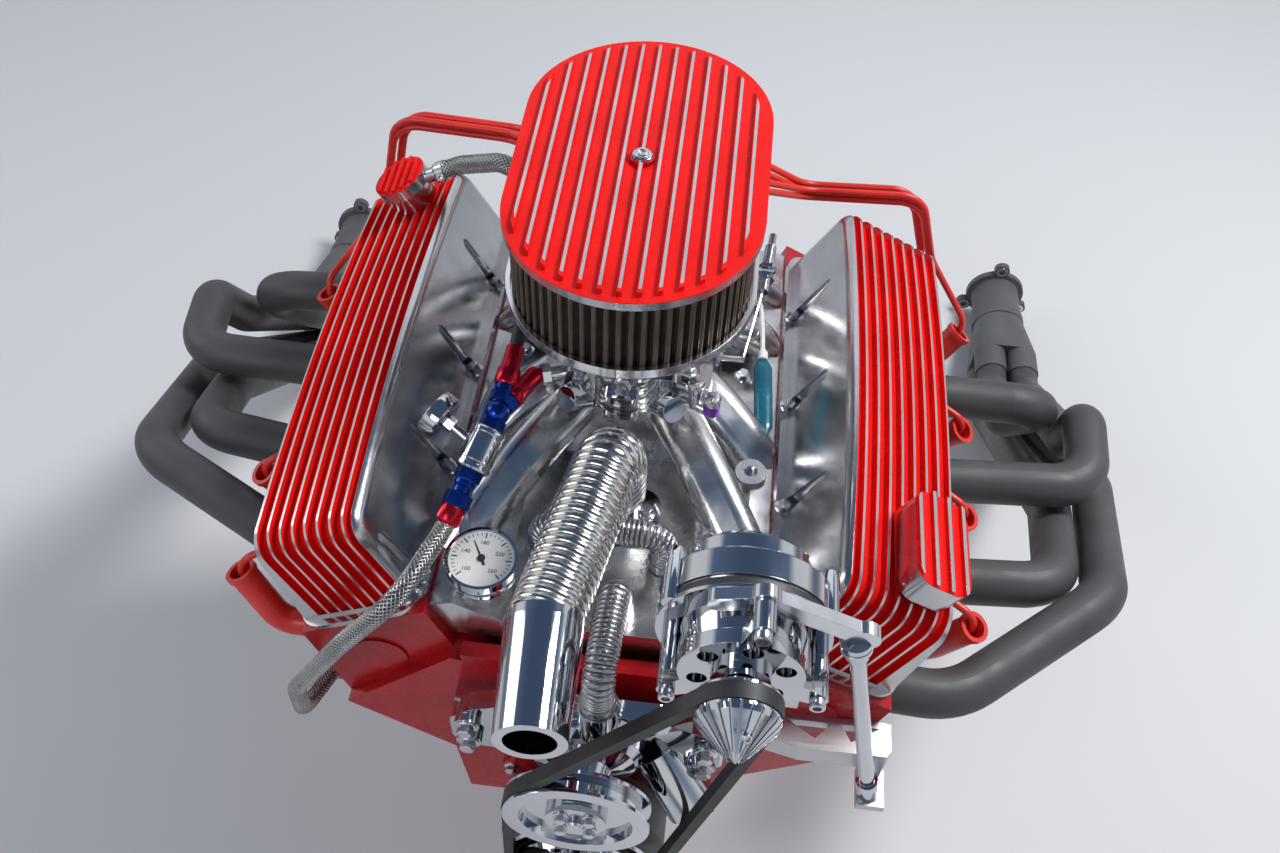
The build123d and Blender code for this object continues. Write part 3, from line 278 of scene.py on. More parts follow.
def rounded_route(points, radius, step=2.0):
    """Points along straight runs joined by arcs."""
    points = [Vector(p) for p in points]
    out = [points[0]]
    for before, here, after in zip(points, points[1:], points[2:]):
        a = (before - here).normalized()
        b = (after - here).normalized()
        half = a.angle(b) / 2
        shorter = min((before - here).length, (after - here).length)
        r = min(radius, 0.45 * shorter * math.tan(half))
        reach = r / math.tan(half)
        start = here + a * reach
        centre = here + (a + b).normalized() * (r / math.sin(half))
        first = start - centre
        last = here + b * reach - centre
        turn = first.angle(last)
        axis = first.cross(last).normalized()
        steps = max(3, int(r * turn / step))
        for k in range(steps + 1):
            out.append(centre + Matrix.Rotation(turn * k / steps, 3, axis) @ first)
    out.append(points[-1])
    return resampled(out, step)


def resampled(points, step):
    """The same line with even steps."""
    lengths = [0.0]
    for a, b in zip(points, points[1:]):
        lengths.append(lengths[-1] + (b - a).length)
    count = max(2, round(lengths[-1] / step))
    out = []
    k = 0
    for i in range(count + 1):
        want = lengths[-1] * i / count
        while k < len(lengths) - 2 and lengths[k + 1] < want:
            k += 1
        share = (want - lengths[k]) / max(lengths[k + 1] - lengths[k], 1e-9)
        out.append(points[k].lerp(points[k + 1], min(max(share, 0.0), 1.0)))
    return out


def bank_shift(side):
    return 0.0 if side > 0 else BANK_SHIFT


def on_cover(side, u, y, n):
    """A point given on a valve cover: across, along and away from its rail."""
    x = RAIL_X + u * math.cos(TILT) + n * math.sin(TILT)
    z = RAIL_Z - u * math.sin(TILT) + n * math.cos(TILT)
    return Vector((side * x, y + bank_shift(side), z))


def cover_normal(side):
    return Vector((side * math.sin(TILT), 0, math.cos(TILT)))


def round_alternator(angle, reach, y):
    """A point at an angle and a distance from the alternator's axis."""
    turn = math.radians(angle)
    return (ALTERNATOR_X + reach * math.cos(turn), y, ALTERNATOR_Z + reach * math.sin(turn))


def block_side(z):
    """How far the block's side stands from the middle at a level."""
    return 122.0 + 8.0 * (z + 58.0) / 88.0


# Materials

class Graph:
    """One material's nodes."""

    def __init__(self, name, slot):
        self.material = bpy.data.materials.new(name)
        self.material.use_nodes = True
        self.material["slot"] = slot
        self.tree = self.material.node_tree
        self.shader = self.tree.nodes["Principled BSDF"]
        self.position = self.tree.nodes.new("ShaderNodeTexCoord").outputs["Object"]

    def put(self, socket, value):
        if isinstance(value, bpy.types.NodeSocket):
            self.tree.links.new(value, socket)
        else:
            socket.default_value = value

    def add(self, kind, inputs=(), **settings):
        node = self.tree.nodes.new(kind)
        for key, value in settings.items():
            setattr(node, key, value)
        for key, value in dict(inputs).items():
            self.put(node.inputs[key], value)
        return node

    def math(self, operation, first, second=0.0):
        return self.add("ShaderNodeMath", {0: first, 1: second}, operation=operation).outputs[0]

    def split(self, vector):
        return self.add("ShaderNodeSeparateXYZ", {0: vector}).outputs

    def noise(self, scale, detail=3.0, stretch=None):
        vector = self.position
        if stretch:
            node = self.add("ShaderNodeVectorMath", {0: vector, 1: stretch}, operation="MULTIPLY")
            vector = node.outputs[0]
        node = self.add("ShaderNodeTexNoise", {"Vector": vector, "Scale": scale, "Detail": detail})
        return node.outputs["Fac"]

    def spread(self, value, low, high, start=0.3, stop=0.7):
        node = self.add("ShaderNodeMapRange", {"Value": value, "From Min": start, "From Max": stop,
                                               "To Min": low, "To Max": high})
        return node.outputs["Result"]

    def mix(self, factor, first, second):
        node = self.add("ShaderNodeMix", {0: factor, 6: first, 7: second}, data_type="RGBA")
        return node.outputs[2]

    def bump(self, height, strength, distance=0.0003, rounded=0.0):
        inputs = {"Height": height, "Strength": strength, "Distance": distance}
        if rounded:
            bevel = self.add("ShaderNodeBevel", {"Radius": rounded}, samples=3)
            inputs["Normal"] = bevel.outputs["Normal"]
        node = self.add("ShaderNodeBump", inputs)
        self.put(self.shader.inputs["Normal"], node.outputs["Normal"])

    def set(self, **values):
        names = {"colour": "Base Color", "metallic": "Metallic", "rough": "Roughness",
                 "coat": "Coat Weight", "coat_rough": "Coat Roughness", "clear": "Transmission Weight",
                 "ior": "IOR"}
        for key, value in values.items():
            self.put(self.shader.inputs[names[key]], value)
        return self.material


def tone(colour, factor):
    return tuple(min(c * factor, 1.0) for c in colour) + (1.0,)


def surface(name, slot, colour, rough, metallic=0.0, vary=0.1, cloud=25.0, spread=0.05, grain=0.1,
            grain_scale=700.0, coat=0.0, rounded=0.0006, stretch=None):
    """A finish with cloudy colour, uneven gloss and a fine grain."""
    g = Graph(name, slot)
    clouds = g.noise(cloud, 4.0)
    smears = g.noise(cloud * 2.5, 2.0, stretch)
    fine = g.noise(grain_scale, 2.0, stretch)
    g.set(colour=g.mix(g.spread(clouds, 0.0, 1.0), tone(colour, 1 - vary), tone(colour, 1 + vary)),
          metallic=metallic, rough=g.spread(smears, max(rough - spread, 0.02), rough + spread))
    if coat:
        g.set(coat=coat, coat_rough=0.06)
    g.bump(fine, grain, rounded=rounded)
    return g.material


RED = (0.74, 0.010, 0.008)
POLISHED = (0.74, 0.74, 0.76)
CHROME = (0.62, 0.63, 0.66)

red_paint = surface("red_engine_paint", "red_paint", (0.40, 0.005, 0.008), 0.26, vary=0.12, grain=0.12,
                    grain_scale=260.0, coat=0.15)
red_paint.node_tree.nodes["Principled BSDF"].inputs["Specular IOR Level"].default_value = 0.3
chrome = surface("chrome", "chrome", CHROME, 0.06, 1.0, vary=0.02, spread=0.02, grain=0.012,
                 grain_scale=60.0)
polished = surface("polished_aluminium", "polished_aluminium", POLISHED, 0.17, 1.0, vary=0.03,
                   cloud=14.0, spread=0.03, grain=0.02, grain_scale=900.0)
satin = surface("satin_aluminium", "polished_aluminium", (0.70, 0.70, 0.71), 0.34, 1.0, vary=0.04,
                cloud=14.0, spread=0.04, grain=0.06, stretch=(1.0, 12.0, 1.0))
brushed = surface("brushed_aluminium", "polished_aluminium", (0.52, 0.52, 0.53), 0.36, 1.0, vary=0.04,
                  cloud=14.0, spread=0.04, grain=0.08, stretch=(1.0, 12.0, 1.0))
cast = surface("hand_polished_casting", "cast_aluminium", (0.70, 0.70, 0.70), 0.26, 1.0, vary=0.06,
               cloud=18.0, spread=0.05, grain=0.10, grain_scale=120.0)
steel = surface("steel_fasteners", "chrome", (0.66, 0.66, 0.68), 0.22, 1.0, vary=0.06, grain=0.08)
dark_steel = surface("satin_black_steel", "dark_steel", (0.035, 0.035, 0.038), 0.42, 0.0, vary=0.2,
                     grain=0.2, grain_scale=420.0)
black_rubber = surface("black_rubber", "black_rubber", (0.018, 0.018, 0.019), 0.5, vary=0.25, grain=0.2)
red_rubber = surface("red_silicone", "red_rubber", (0.66, 0.028, 0.018), 0.36, vary=0.12, grain=0.12,
                     grain_scale=320.0)
red_anodised = surface("red_anodised", "red_rubber", (0.55, 0.012, 0.03), 0.24, 0.85, vary=0.06)
blue_anodised = surface("blue_anodised", "blue_anodised", (0.010, 0.050, 0.32), 0.24, 0.85, vary=0.06)
header_coat = surface("header_coat", "header_coat", (0.060, 0.060, 0.063), 0.55, 0.0, vary=0.16,
                      cloud=14.0, spread=0.08, grain=0.55, grain_scale=620.0, rounded=0.0)
collector_coat = surface("collector_coat", "header_coat", (0.10, 0.10, 0.103), 0.58, 0.0, vary=0.16,
                         cloud=14.0, spread=0.08, grain=0.5, grain_scale=620.0, rounded=0.0)
teal_tube = surface("teal_tube", "blue_anodised", (0.008, 0.11, 0.17), 0.25, vary=0.15)
purple = surface("purple_spring", "blue_anodised", (0.20, 0.06, 0.42), 0.3, 0.6, vary=0.05)
gauze = surface("dark_gauze", "filter_paper", (0.030, 0.019, 0.014), 0.78, vary=0.3, cloud=60.0,
                grain=0.8, grain_scale=1500.0, rounded=0.0)
gauze_ridge = surface("gauze_ridge", "filter_paper", (0.085, 0.062, 0.045), 0.6, vary=0.3, cloud=60.0,
                      grain=0.8, grain_scale=1500.0, rounded=0.0)
# Real gauze wire, coloured light as a painted highlight on the lit pleat edges
gauze_wire_painted_highlight = surface("gauze_wire_painted_highlight", "filter_paper", (0.20, 0.155, 0.11), 0.45, 0.5, vary=0.3,
                     rounded=0.0)
braid_steel = surface("braided_steel", "stainless_hose", (0.44, 0.44, 0.43), 0.28, 1.0, vary=0.12,
                      spread=0.06, grain=0.1, rounded=0.0)
dial_white = surface("dial_white", "polished_aluminium", (0.78, 0.78, 0.76), 0.35, vary=0.02, coat=1.0,
                     rounded=0.0)
dial_black = surface("dial_black", "dark_steel", (0.02, 0.02, 0.02), 0.5, vary=0.1, rounded=0.0)


def painted_fins(name, mask):
    """Polished metal where the mask is one, red paint where it is nought."""
    g = Graph(name, "polished_aluminium")
    bare = mask(g)
    clouds = g.noise(22.0, 4.0)
    smears = g.noise(40.0, 2.0)
    paint = g.mix(g.spread(clouds, 0.0, 1.0), tone(RED, 0.90), tone(RED, 1.08))
    metal = g.mix(g.spread(clouds, 0.0, 1.0), tone(POLISHED, 0.68), tone(POLISHED, 0.84))
    rough_paint = g.spread(smears, 0.22, 0.30)
    rough_metal = g.spread(smears, 0.17, 0.25)
    rough = g.add("ShaderNodeMix", {0: bare, 2: rough_paint, 3: rough_metal}).outputs[0]
    g.set(colour=g.mix(bare, paint, metal), metallic=bare, rough=rough)
    g.shader.inputs["Specular IOR Level"].default_value = 0.12
    g.bump(g.noise(300.0, 2.0), 0.008, rounded=0.0006)
    return g.material


def cover_axes(g):
    x, y, z = g.split(g.position)
    out = g.math("SUBTRACT", g.math("ABSOLUTE", x), RAIL_X * MM)
    up = g.math("SUBTRACT", z, RAIL_Z * MM)
    u = g.math("SUBTRACT", g.math("MULTIPLY", out, math.cos(TILT)), g.math("MULTIPLY", up, math.sin(TILT)))
    n = g.math("ADD", g.math("MULTIPLY", out, math.sin(TILT)), g.math("MULTIPLY", up, math.cos(TILT)))
    return x, u, y, n


def either(g, *masks):
    total = masks[0]
    for mask in masks[1:]:
        total = g.math("MAXIMUM", total, mask)
    return total


def off_line(g, value, pitch):
    """How far a value is from the nearest whole pitch, in pitches."""
    cell = g.math("ADD", g.math("DIVIDE", value, pitch), 0.5)
    return g.math("ABSOLUTE", g.math("SUBTRACT", g.math("FRACT", cell), 0.5))


def cover_mask(g):
    x, u, y, n = cover_axes(g)
    off = off_line(g, g.math("SUBTRACT", u, FIRST_FIN * MM), FIN_PITCH * MM)
    fin = g.math("LESS_THAN", off, FIN_LINE / FIN_PITCH)
    wall = g.math("LESS_THAN", u, COVER_WALL * MM)
    outer = g.math("GREATER_THAN", u, COVER_OUTER * MM)
    foot = g.math("LESS_THAN", n, COVER_FOOT * MM)
    # The pockets over the cover bolts are polished inside too
    shift = g.math("MULTIPLY", g.math("LESS_THAN", x, 0.0), BANK_SHIFT * MM)
    place = g.math("SUBTRACT", y, shift)
    behind = g.math("GREATER_THAN", place, POCKET_FRONT * MM)
    between = g.math("MULTIPLY", behind, g.math("LESS_THAN", place, POCKET_REAR * MM))
    pocket = g.math("MULTIPLY", between, g.math("LESS_THAN", n, POCKET_TOP * MM))
    return either(g, fin, wall, outer, foot, pocket)


def lid_mask(g):
    x, y, z = g.split(g.position)
    top = g.math("GREATER_THAN", z, LID_TOP * MM)
    away = g.math("ABSOLUTE", g.math("SUBTRACT", y, CARB_Y * MM))
    away = g.math("MAXIMUM", g.math("SUBTRACT", away, LID_STRAIGHT * MM), 0.0)
    reach = g.math("SQRT", g.math("ADD", g.math("MULTIPLY", x, x), g.math("MULTIPLY", away, away)))
    inside = g.math("LESS_THAN", reach, LID_REACH * MM)
    line = g.math("LESS_THAN", off_line(g, x, LID_PITCH * MM), LID_LINE / LID_PITCH)
    ridge = g.math("MULTIPLY", g.math("MULTIPLY", top, inside), line)
    side = g.math("LESS_THAN", z, LID_SIDE * MM)
    return either(g, ridge, side)


def cap_mask(g):
    n = cover_axes(g)[3]
    return either(g, g.math("GREATER_THAN", n, CAP_TOP * MM), g.math("LESS_THAN", n, CAP_FOOT * MM))


def breather_mask(g):
    return g.math("LESS_THAN", cover_axes(g)[3], BREATHER_FOOT * MM)


materials = {
    "block": red_paint, "head_right": red_paint, "head_left": red_paint, "timing_cover": red_paint,
    "oil_pan": red_paint,
    "valve_cover_right": painted_fins("finned_cover", cover_mask),
    "air_cleaner_lid": painted_fins("finned_lid", lid_mask),
    "filler_cap": painted_fins("finned_cap", cap_mask),
    "breather": painted_fins("finned_breather", breather_mask),
    "intake_manifold": cast, "carburettor": chrome, "air_cleaner_base": polished, "air_filter": gauze,
    "water_outlet": chrome, "hose_sleeve": chrome, "distributor": cast, "distributor_cap": red_rubber,
    "plug_boots_right": red_rubber, "plug_boots_left": red_rubber,
    "plug_wires_right": red_rubber, "plug_wires_left": red_rubber,
    "water_pump": chrome, "crank_damper": dark_steel, "crank_pulley": chrome,
    "crank_flange": dark_steel, "pump_pulley": chrome, "alternator_case": chrome,
    "alternator_rotor": chrome, "alternator_bracket": satin, "alternator_brace": polished,
    "adjusting_rod": chrome, "lower_bracket": brushed, "belt": black_rubber,
    "engine_mount_right": dark_steel, "engine_mount_left": dark_steel, "fuel_pump": chrome,
    "starter": dark_steel, "oil_filter": dark_steel, "header_right": header_coat,
    "header_left": header_coat, "collector_right": collector_coat, "collector_left": collector_coat,
    "temperature_gauge": chrome, "fuel_filter": blue_anodised, "fuel_hose": steel,
    "breather_hose": steel, "radiator_hose": steel, "bypass_hose": steel, "heater_hose": steel,
}
materials["valve_cover_left"] = materials["valve_cover_right"]
for node, material in materials.items():
    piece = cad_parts[node]
    piece.data.materials.clear()
    piece.data.materials.append(material)


# Camera and studio

def camera():
    """The photo's camera, fitted to the valve covers."""
    data = bpy.data.cameras.new("camera")
    data.sensor_width = 36.0
    data.lens = 35.34
    right = Vector((0.993, 0.110, 0.029))
    back = Vector((0.046, -0.626, 0.778))
    back = (back - right * back.dot(right)).normalized()
    right.normalize()
    up = back.cross(right)
    eye = bpy.data.objects.new("camera", data)
    eye.matrix_world = Matrix.Translation((0.0681, -1.0005, 1.1565)) @ Matrix(
        (right, up, back)).transposed().to_4x4()
    bpy.context.scene.collection.objects.link(eye)
    bpy.context.scene.camera = eye


def lamp(name, place, size, power):
    """A soft lamp that looks at the engine's middle."""
    data = bpy.data.lights.new(name, "AREA")
    data.shape = "RECTANGLE"
    data.size, data.size_y = size
    data.energy = power
    lamp_object = bpy.data.objects.new(name, data)
    way = Vector((0.0, -0.2, 0.2)) - Vector(place)
    lamp_object.matrix_world = Matrix.Translation(place) @ way.to_track_quat("-Z", "Y").to_matrix().to_4x4()
    bpy.context.scene.collection.objects.link(lamp_object)


def studio():
    mesh = bpy.data.meshes.new("floor")
    reach = 30.0
    level = cad_box[0][2] - 0.0005
    mesh.from_pydata([(-reach, -reach, level), (reach, -reach, level), (reach, reach, level),
                      (-reach, reach, level)], [], [(0, 1, 2, 3)])
    floor = bpy.data.objects.new("floor", mesh)
    bpy.context.scene.collection.objects.link(floor)
    g = Graph("floor", "floor")
    g.set(colour=(0.68, 0.68, 0.68, 1.0), rough=0.8)
    mesh.materials.append(g.material)
    world = bpy.data.worlds.new("studio")
    world.use_nodes = True
    nodes = world.node_tree.nodes
    links = world.node_tree.links
    place = nodes.new("ShaderNodeTexCoord")
    parts = nodes.new("ShaderNodeSeparateXYZ")
    ramp = nodes.new("ShaderNodeValToRGB")
    links.new(place.outputs["Generated"], parts.inputs[0])
    links.new(parts.outputs["Z"], ramp.inputs["Fac"])
    # The sky starts in the far floor's tone, is bright low down and darkens towards the zenith
    stops = ramp.color_ramp.elements
    stops[0].position = 0.0
    stops[0].color = (0.30, 0.31, 0.33, 1.0)
    stops[1].position = 0.85
    stops[1].color = (0.07, 0.11, 0.19, 1.0)
    for level, colour in ((0.14, (0.86, 0.87, 0.89, 1.0)), (0.42, (0.80, 0.82, 0.86, 1.0)),
                          (0.54, (0.14, 0.20, 0.32, 1.0))):
        stops.new(level).color = colour
    links.new(ramp.outputs["Color"], nodes["Background"].inputs["Color"])
    nodes["Background"].inputs["Strength"].default_value = 0.85
    bpy.context.scene.world = world
    lamp("key", (1.6, 0.4, 2.5), (0.8, 0.8), 80.0)
    lamp("rear_panel", (0.0, 2.3, 2.6), (3.2, 1.2), 10.0)
    lamp("front", (-1.2, -2.2, 2.0), (1.2, 0.8), 16.0)
    lamp("left", (-2.4, 0.2, 1.3), (0.8, 1.6), 10.0)
    bpy.context.scene.view_settings.view_transform = "Standard"


camera()
studio()


# Air cleaner

def stadium_point(distance, width, length):
    """A point at a distance along an outline of two straight sides and two half circles."""
    radius = width / 2
    straight = length - width
    arc = math.pi * radius
    distance %= 2 * (straight + arc)
    if distance < straight:
        return (radius, distance - straight / 2)
    distance -= straight
    if distance < arc:
        turn = distance / radius
        return (radius * math.cos(turn), straight / 2 + radius * math.sin(turn))
    distance -= arc
    if distance < straight:
        return (-radius, straight / 2 - distance)
    turn = math.pi + (distance - straight) / radius
    return (radius * math.cos(turn), radius * math.sin(turn) - straight / 2)


def air_cleaner_details():
    # A thin wire runs beside each dark ridge: the gauze's real wire, with its light colour a painted
    # highlight where light catches the pleat edges
    ridges = Shape()
    wires = Shape()
    around = 2 * (FILTER_LENGTH - FILTER_WIDTH) + math.pi * FILTER_WIDTH
    for index in range(PLEATS):
        for shape, place, out, radius, segments in ((ridges, 0.5, 0.0, 1.9, 8), (wires, 0.9, 1.6, 0.45, 4)):
            x, y = stadium_point((2 * index + place) * around / (2 * PLEATS), FILTER_WIDTH + out,
                                 FILTER_LENGTH + out)
            shape.tube([(x, CARB_Y + y, FILTER_LOW), (x, CARB_Y + y, FILTER_HIGH)], radius, segments)
    ridges.done("filter_ridges", gauze_ridge, angle=80.0)
    wires.done("filter_wire_painted_highlights", gauze_wire_painted_highlight)
    pad = Shape()
    pad.lathe([(0, 500), (10.5, 500), (10.5, 504.6), (9.6, 505.4), (0, 505.4)],
              axes_at((0, CARB_Y, 0), (0, 0, 1)), 40)
    pad.done("lid_pad", red_paint)
    screw = Shape()
    screw.lathe([(0, 0), (8.2, 0), (8.2, 0.9), (7.6, 1.3), (0, 1.3)],
                axes_at((0, CARB_Y, 505.4), (0, 0, 1)), 32)
    screw.socket_screw((0, CARB_Y, 506.6), (0, 0, 1), 5.2, 2.9)
    screw.done("lid_screw", steel)


# Hoses: three with rings and two braided ones

RING_STEPS = 12
BRAID_STEP = 2.0
BRAID_WIRE = 0.75


def ribbed_hose(node, points, bend, radius, groove, pitch, material):
    """A hose whose rings have a half-round section."""
    route = rounded_route(points, bend, pitch / RING_STEPS)

    def at(i, turn):
        away = 2.0 * (i % RING_STEPS) / RING_STEPS - 1.0
        return radius - groove + groove * math.sqrt(1.0 - away ** 2)

    piece = Shape().tube(route, at, 64).done(node + "_rings", material, angle=80.0)
    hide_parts(node)


def hose_details():
    hose_steel = surface("hose_steel", "stainless_hose", (0.72, 0.70, 0.66), 0.14, 1.0, vary=0.06,
                         spread=0.05, grain=0.05, rounded=0.0)
    small_steel = surface("small_hose_steel", "stainless_hose", (0.45, 0.45, 0.46), 0.26, 1.0, vary=0.1,
                          grain=0.05, rounded=0.0)
    ribbed_hose("radiator_hose", [(0, -366, 276), (0, -366, 337), (-31, -535, 337)],
                44, 28.9, 3.4, 7.6, hose_steel)
    ribbed_hose("bypass_hose", [(10, -540, 222), (10, -540, 268), (14, -462, 268), (14, -462, 246)],
                21, 13.9, 2.4, 4.4, small_steel)
    ribbed_hose("heater_hose", [(50, -418, 250), (50, -418, 292), (-54, -416, 292), (-54, -416, 250)],
                19, 11.9, 2.2, 4.2, small_steel)
    clamps = Shape()
    for centre, along, radius in (((0, -366, 281), (0, 0, 1), 28.0),
                                  ((10, -540, 227), (0, 0, 1), 14.6), ((14, -462, 250), (0, 0, 1), 14.6),
                                  ((50, -418, 256), (0, 0, 1), 12.6), ((-54, -416, 256), (0, 0, 1), 12.6)):
        at = axes_at(centre, along)
        clamps.lathe([(radius - 1.5, -4), (radius + 0.7, -4), (radius + 0.7, 4), (radius - 1.5, 4)], at, 40)
    clamps.done("hose_clamps", steel)


def braided(line, radius, strands, node):
    """Steel wires laid both ways round a dark hose."""
    core = Shape().tube(line, radius - 2 * BRAID_WIRE, 32).done(node + "_core", dark_steel, angle=60.0)
    braid = Shape()
    frames = frames_along(line)
    for way in (1, -1):
        for strand in range(strands):
            wire = []
            for i, (here, x, y) in enumerate(frames):
                turn = 2 * math.pi * strand / strands + way * i * BRAID_STEP / radius
                wire.append(here + (x * math.cos(turn) + y * math.sin(turn)) * (radius - BRAID_WIRE))
            braid.tube(wire, BRAID_WIRE, 5)
    cover = braid.done(node + "_braid", braid_steel, angle=80.0)
    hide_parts(node)
    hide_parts(node)


def braid_details():
    outlet = Vector(FILTER_OUTLET)
    leave = (outlet - Vector(TEE)).normalized()
    pump_end = Vector((-238.0, -432.0, 30.0))
    away = (pump_end - Vector((-198.0, -420.0, 30.0))).normalized()
    route = [outlet + leave * 0.3, outlet + leave * 32, (-148, -520, 318), (-200, -526, 250),
             (-258, -522, 150), (-274, -500, 60), pump_end + away * 28, pump_end + away * 0.3]
    braided(rounded_route(route, 40, BRAID_STEP), 8.0, 12, "fuel_hose")
    first = on_cover(-1, 11.7, -81.0, 126.0)
    second = on_cover(-1, -16.0, -81.0, 126.0)
    route = [first, second, (-140, -94, 398), (-84, -120, 392), (-84, -120, 417.7)]
    braided(rounded_route(route, 30, BRAID_STEP), 9.0, 14, "breather_hose")
    clamp = Shape()
    at = axes_at(first.lerp(second, 0.1), second - first)
    clamp.lathe([(8.4, 0), (9.9, 0), (9.9, 8), (8.4, 8)], at, 32)
    clamp.socket_screw(first.lerp(second, 0.25) + Vector((0, -9.0, 0)), (0, -1, 0), 3.6, 5.0)
    clamp.done("breather_clamp", steel)
    red_ends = Shape()
    blue_ends = Shape()
    for start, way in ((outlet, leave), (pump_end, away)):
        at = axes_at(start, way)
        red_ends.lathe([(7, 12), (10.6, 12.4), (11.0, 14), (11.0, 24), (9.4, 27), (8.4, 28), (8.0, 28)],
                       at, 24)
        blue_ends.prism(hexagon(12.0), at, 0.4, 12.0, 0.9)
    red_ends.done("hose_sockets", red_anodised)
    blue_ends.done("hose_nuts", blue_anodised)


# Bolts on the castings

def cover_details():
    bolts = Shape()
    for side in (1, -1):
        normal = cover_normal(side)
        for y in (-466.0, -352.0, -236.0, -120.0):
            bolts.hex_bolt(on_cover(side, 5.4, y, 5.0), normal, 5.6, 7.0)
        for y in (-440.0, -330.0, -215.0, -100.0):
            bolts.hex_bolt(on_cover(side, 126.0, y, 5.0), normal, 4.4, 5.0)
    bolts.done("cover_bolts", steel)


def intake_details():
    bolts = Shape()
    for x, y in ((103, -297), (100, -258), (104, -205), (102, -150), (104, -92), (102, -60), (104, -404)):
        bolts.hex_bolt((x, y, 258), (0.25, 0, 1), 6.2, 6.0)
    for x, y in ((-103, -291), (-100, -250), (-104, -200), (-102, -145), (-104, -88), (-102, -56)):
        bolts.hex_bolt((x, y, 258), (-0.25, 0, 1), 6.2, 6.0)
    for x in (-30, 30):
        bolts.hex_bolt((x, -366, 248), (0, 0, 1), 6.0, 6.0)
    bolts.done("intake_bolts", steel)


def front_details():
    bolts = Shape()
    front = (0, -1, 0)
    for x, z in ((-102, 132), (-102, 162), (102, 132), (102, 162)):
        bolts.hex_bolt((x, -545, z), front, 7.0, 7.0)
    for x, z in ((-60, -40), (60, -40), (-74, 30), (74, 30), (-38, 92), (38, 92), (-70, -8), (70, -8)):
        bolts.hex_bolt((x, -519, z), front, 5.6, 5.0)
    bolts.done("front_bolts", steel)
    drive = Shape()
    for step in range(3):
        turn = math.radians(120 * step + 30)
        drive.hex_bolt((22 * math.cos(turn), -609, 22 * math.sin(turn)), front, 6.2, 6.0)
    drive.hex_bolt((0, -609, 0), front, 11.0, 9.0)
    drive.done("crank_bolts", steel, body="crank")
    pump = Shape()
    for step in range(4):
        turn = math.radians(90 * step + 45)
        pump.hex_bolt((17 * math.cos(turn), -607, PUMP_Z + 17 * math.sin(turn)), front, 5.0, 5.0)
    pump.lathe([(0, 0), (8, 0), (8, 3), (6.5, 5), (0, 5)], axes_at((0, -607, PUMP_Z), front), 24)
    pump.done("pump_bolts", steel, body="pump")


def alternator_details():
    bolts = Shape()
    for angle in (81.0, 215.0, -23.0):
        bolts.socket_screw(round_alternator(angle, LUG_REACH, -570.2), (0, -1, 0), 6.2, 7.0)
    for angle in (20.0, 140.0, 260.0):
        bolts.hex_bolt(round_alternator(angle, 42, -474), (0, 1, 0), 4.0, 4.0)
    bolts.done("alternator_bolts", steel)
    bosses = Shape()
    for angle in (215.0, -23.0, 20.0, 150.0):
        at = axes_at(round_alternator(angle, LUG_REACH, -536.5), (0, 1, 0))
        bosses.lathe([(0, 0), (7.6, 0), (7.6, 40), (6.0, 46), (0, 46)], at, 28)
    bosses.done("alternator_bosses", chrome)
    # A small screw in the fluted cone, half way down its slope
    turn = math.radians(68.0)
    away = Vector((math.cos(turn), 0, math.sin(turn)))
    slope = (away * 28.0 + Vector((0, -26.0, 0))).normalized()
    nose = Shape()
    centre = Vector((ALTERNATOR_X, -624.0, ALTERNATOR_Z))
    nose.socket_screw(centre + away * NOSE_REACH, slope, 3.3, 3.4)
    nose.done("nose_screw", steel, body="rotor")
    seam = Shape()
    seam.lathe([(61.5, -533.6), (62.7, -533.0), (62.7, -527.0), (61.5, -526.4)],
               axes_at((ALTERNATOR_X, 0, ALTERNATOR_Z), (0, 1, 0)), 96)
    seam.done("alternator_seam", dark_steel)
    nuts = Shape()
    top = Vector((196.0, -542.0, 366.0))
    foot = Vector((245.0, -550.0, 132.0))
    down = (foot - top).normalized()
    nuts.lathe([(0, 0), (12, 0), (12, 5), (10, 7), (0, 7)], axes_at(top + down * -7, down), 32)
    nuts.done("rod_cap", chrome)


def header_details():
    bolts = Shape()
    out = Vector((math.sin(PORT_SLOPE), 0, -math.cos(PORT_SLOPE)))
    ports = {1: (-456, -336, -216, -100), -1: (-386, -268, -150, -32)}
    for side, places in ports.items():
        way = Vector((side * out.x, 0, out.z))
        for place in places:
            for shift in (-34, 34):
                if place + shift > places[-1] + 30 or place + shift < places[0] - 30:
                    continue
                start = Vector((side * PORT_X, place + shift, PORT_Z)) + way * 8.0
                bolts.hex_bolt(start, way, 5.6, 5.0)
    bolts.done("header_bolts", steel)
    nuts = Shape()
    for side in (1, -1):
        for step in range(3):
            turn = math.radians(90 + 120 * step)
            x = COLLECTOR_X + COLLECTOR_BOLTS * math.cos(turn)
            z = COLLECTOR_Z + COLLECTOR_BOLTS * math.sin(turn)
            at = axes_at((side * x, 551.0 + bank_shift(side), z), (0, -1, 0))
            nuts.lathe([(5.2, 0), (9.0, 0), (9.0, 1.2), (5.2, 1.2)], at, 20)
    nuts.done("collector_washers", steel)


# Gauges

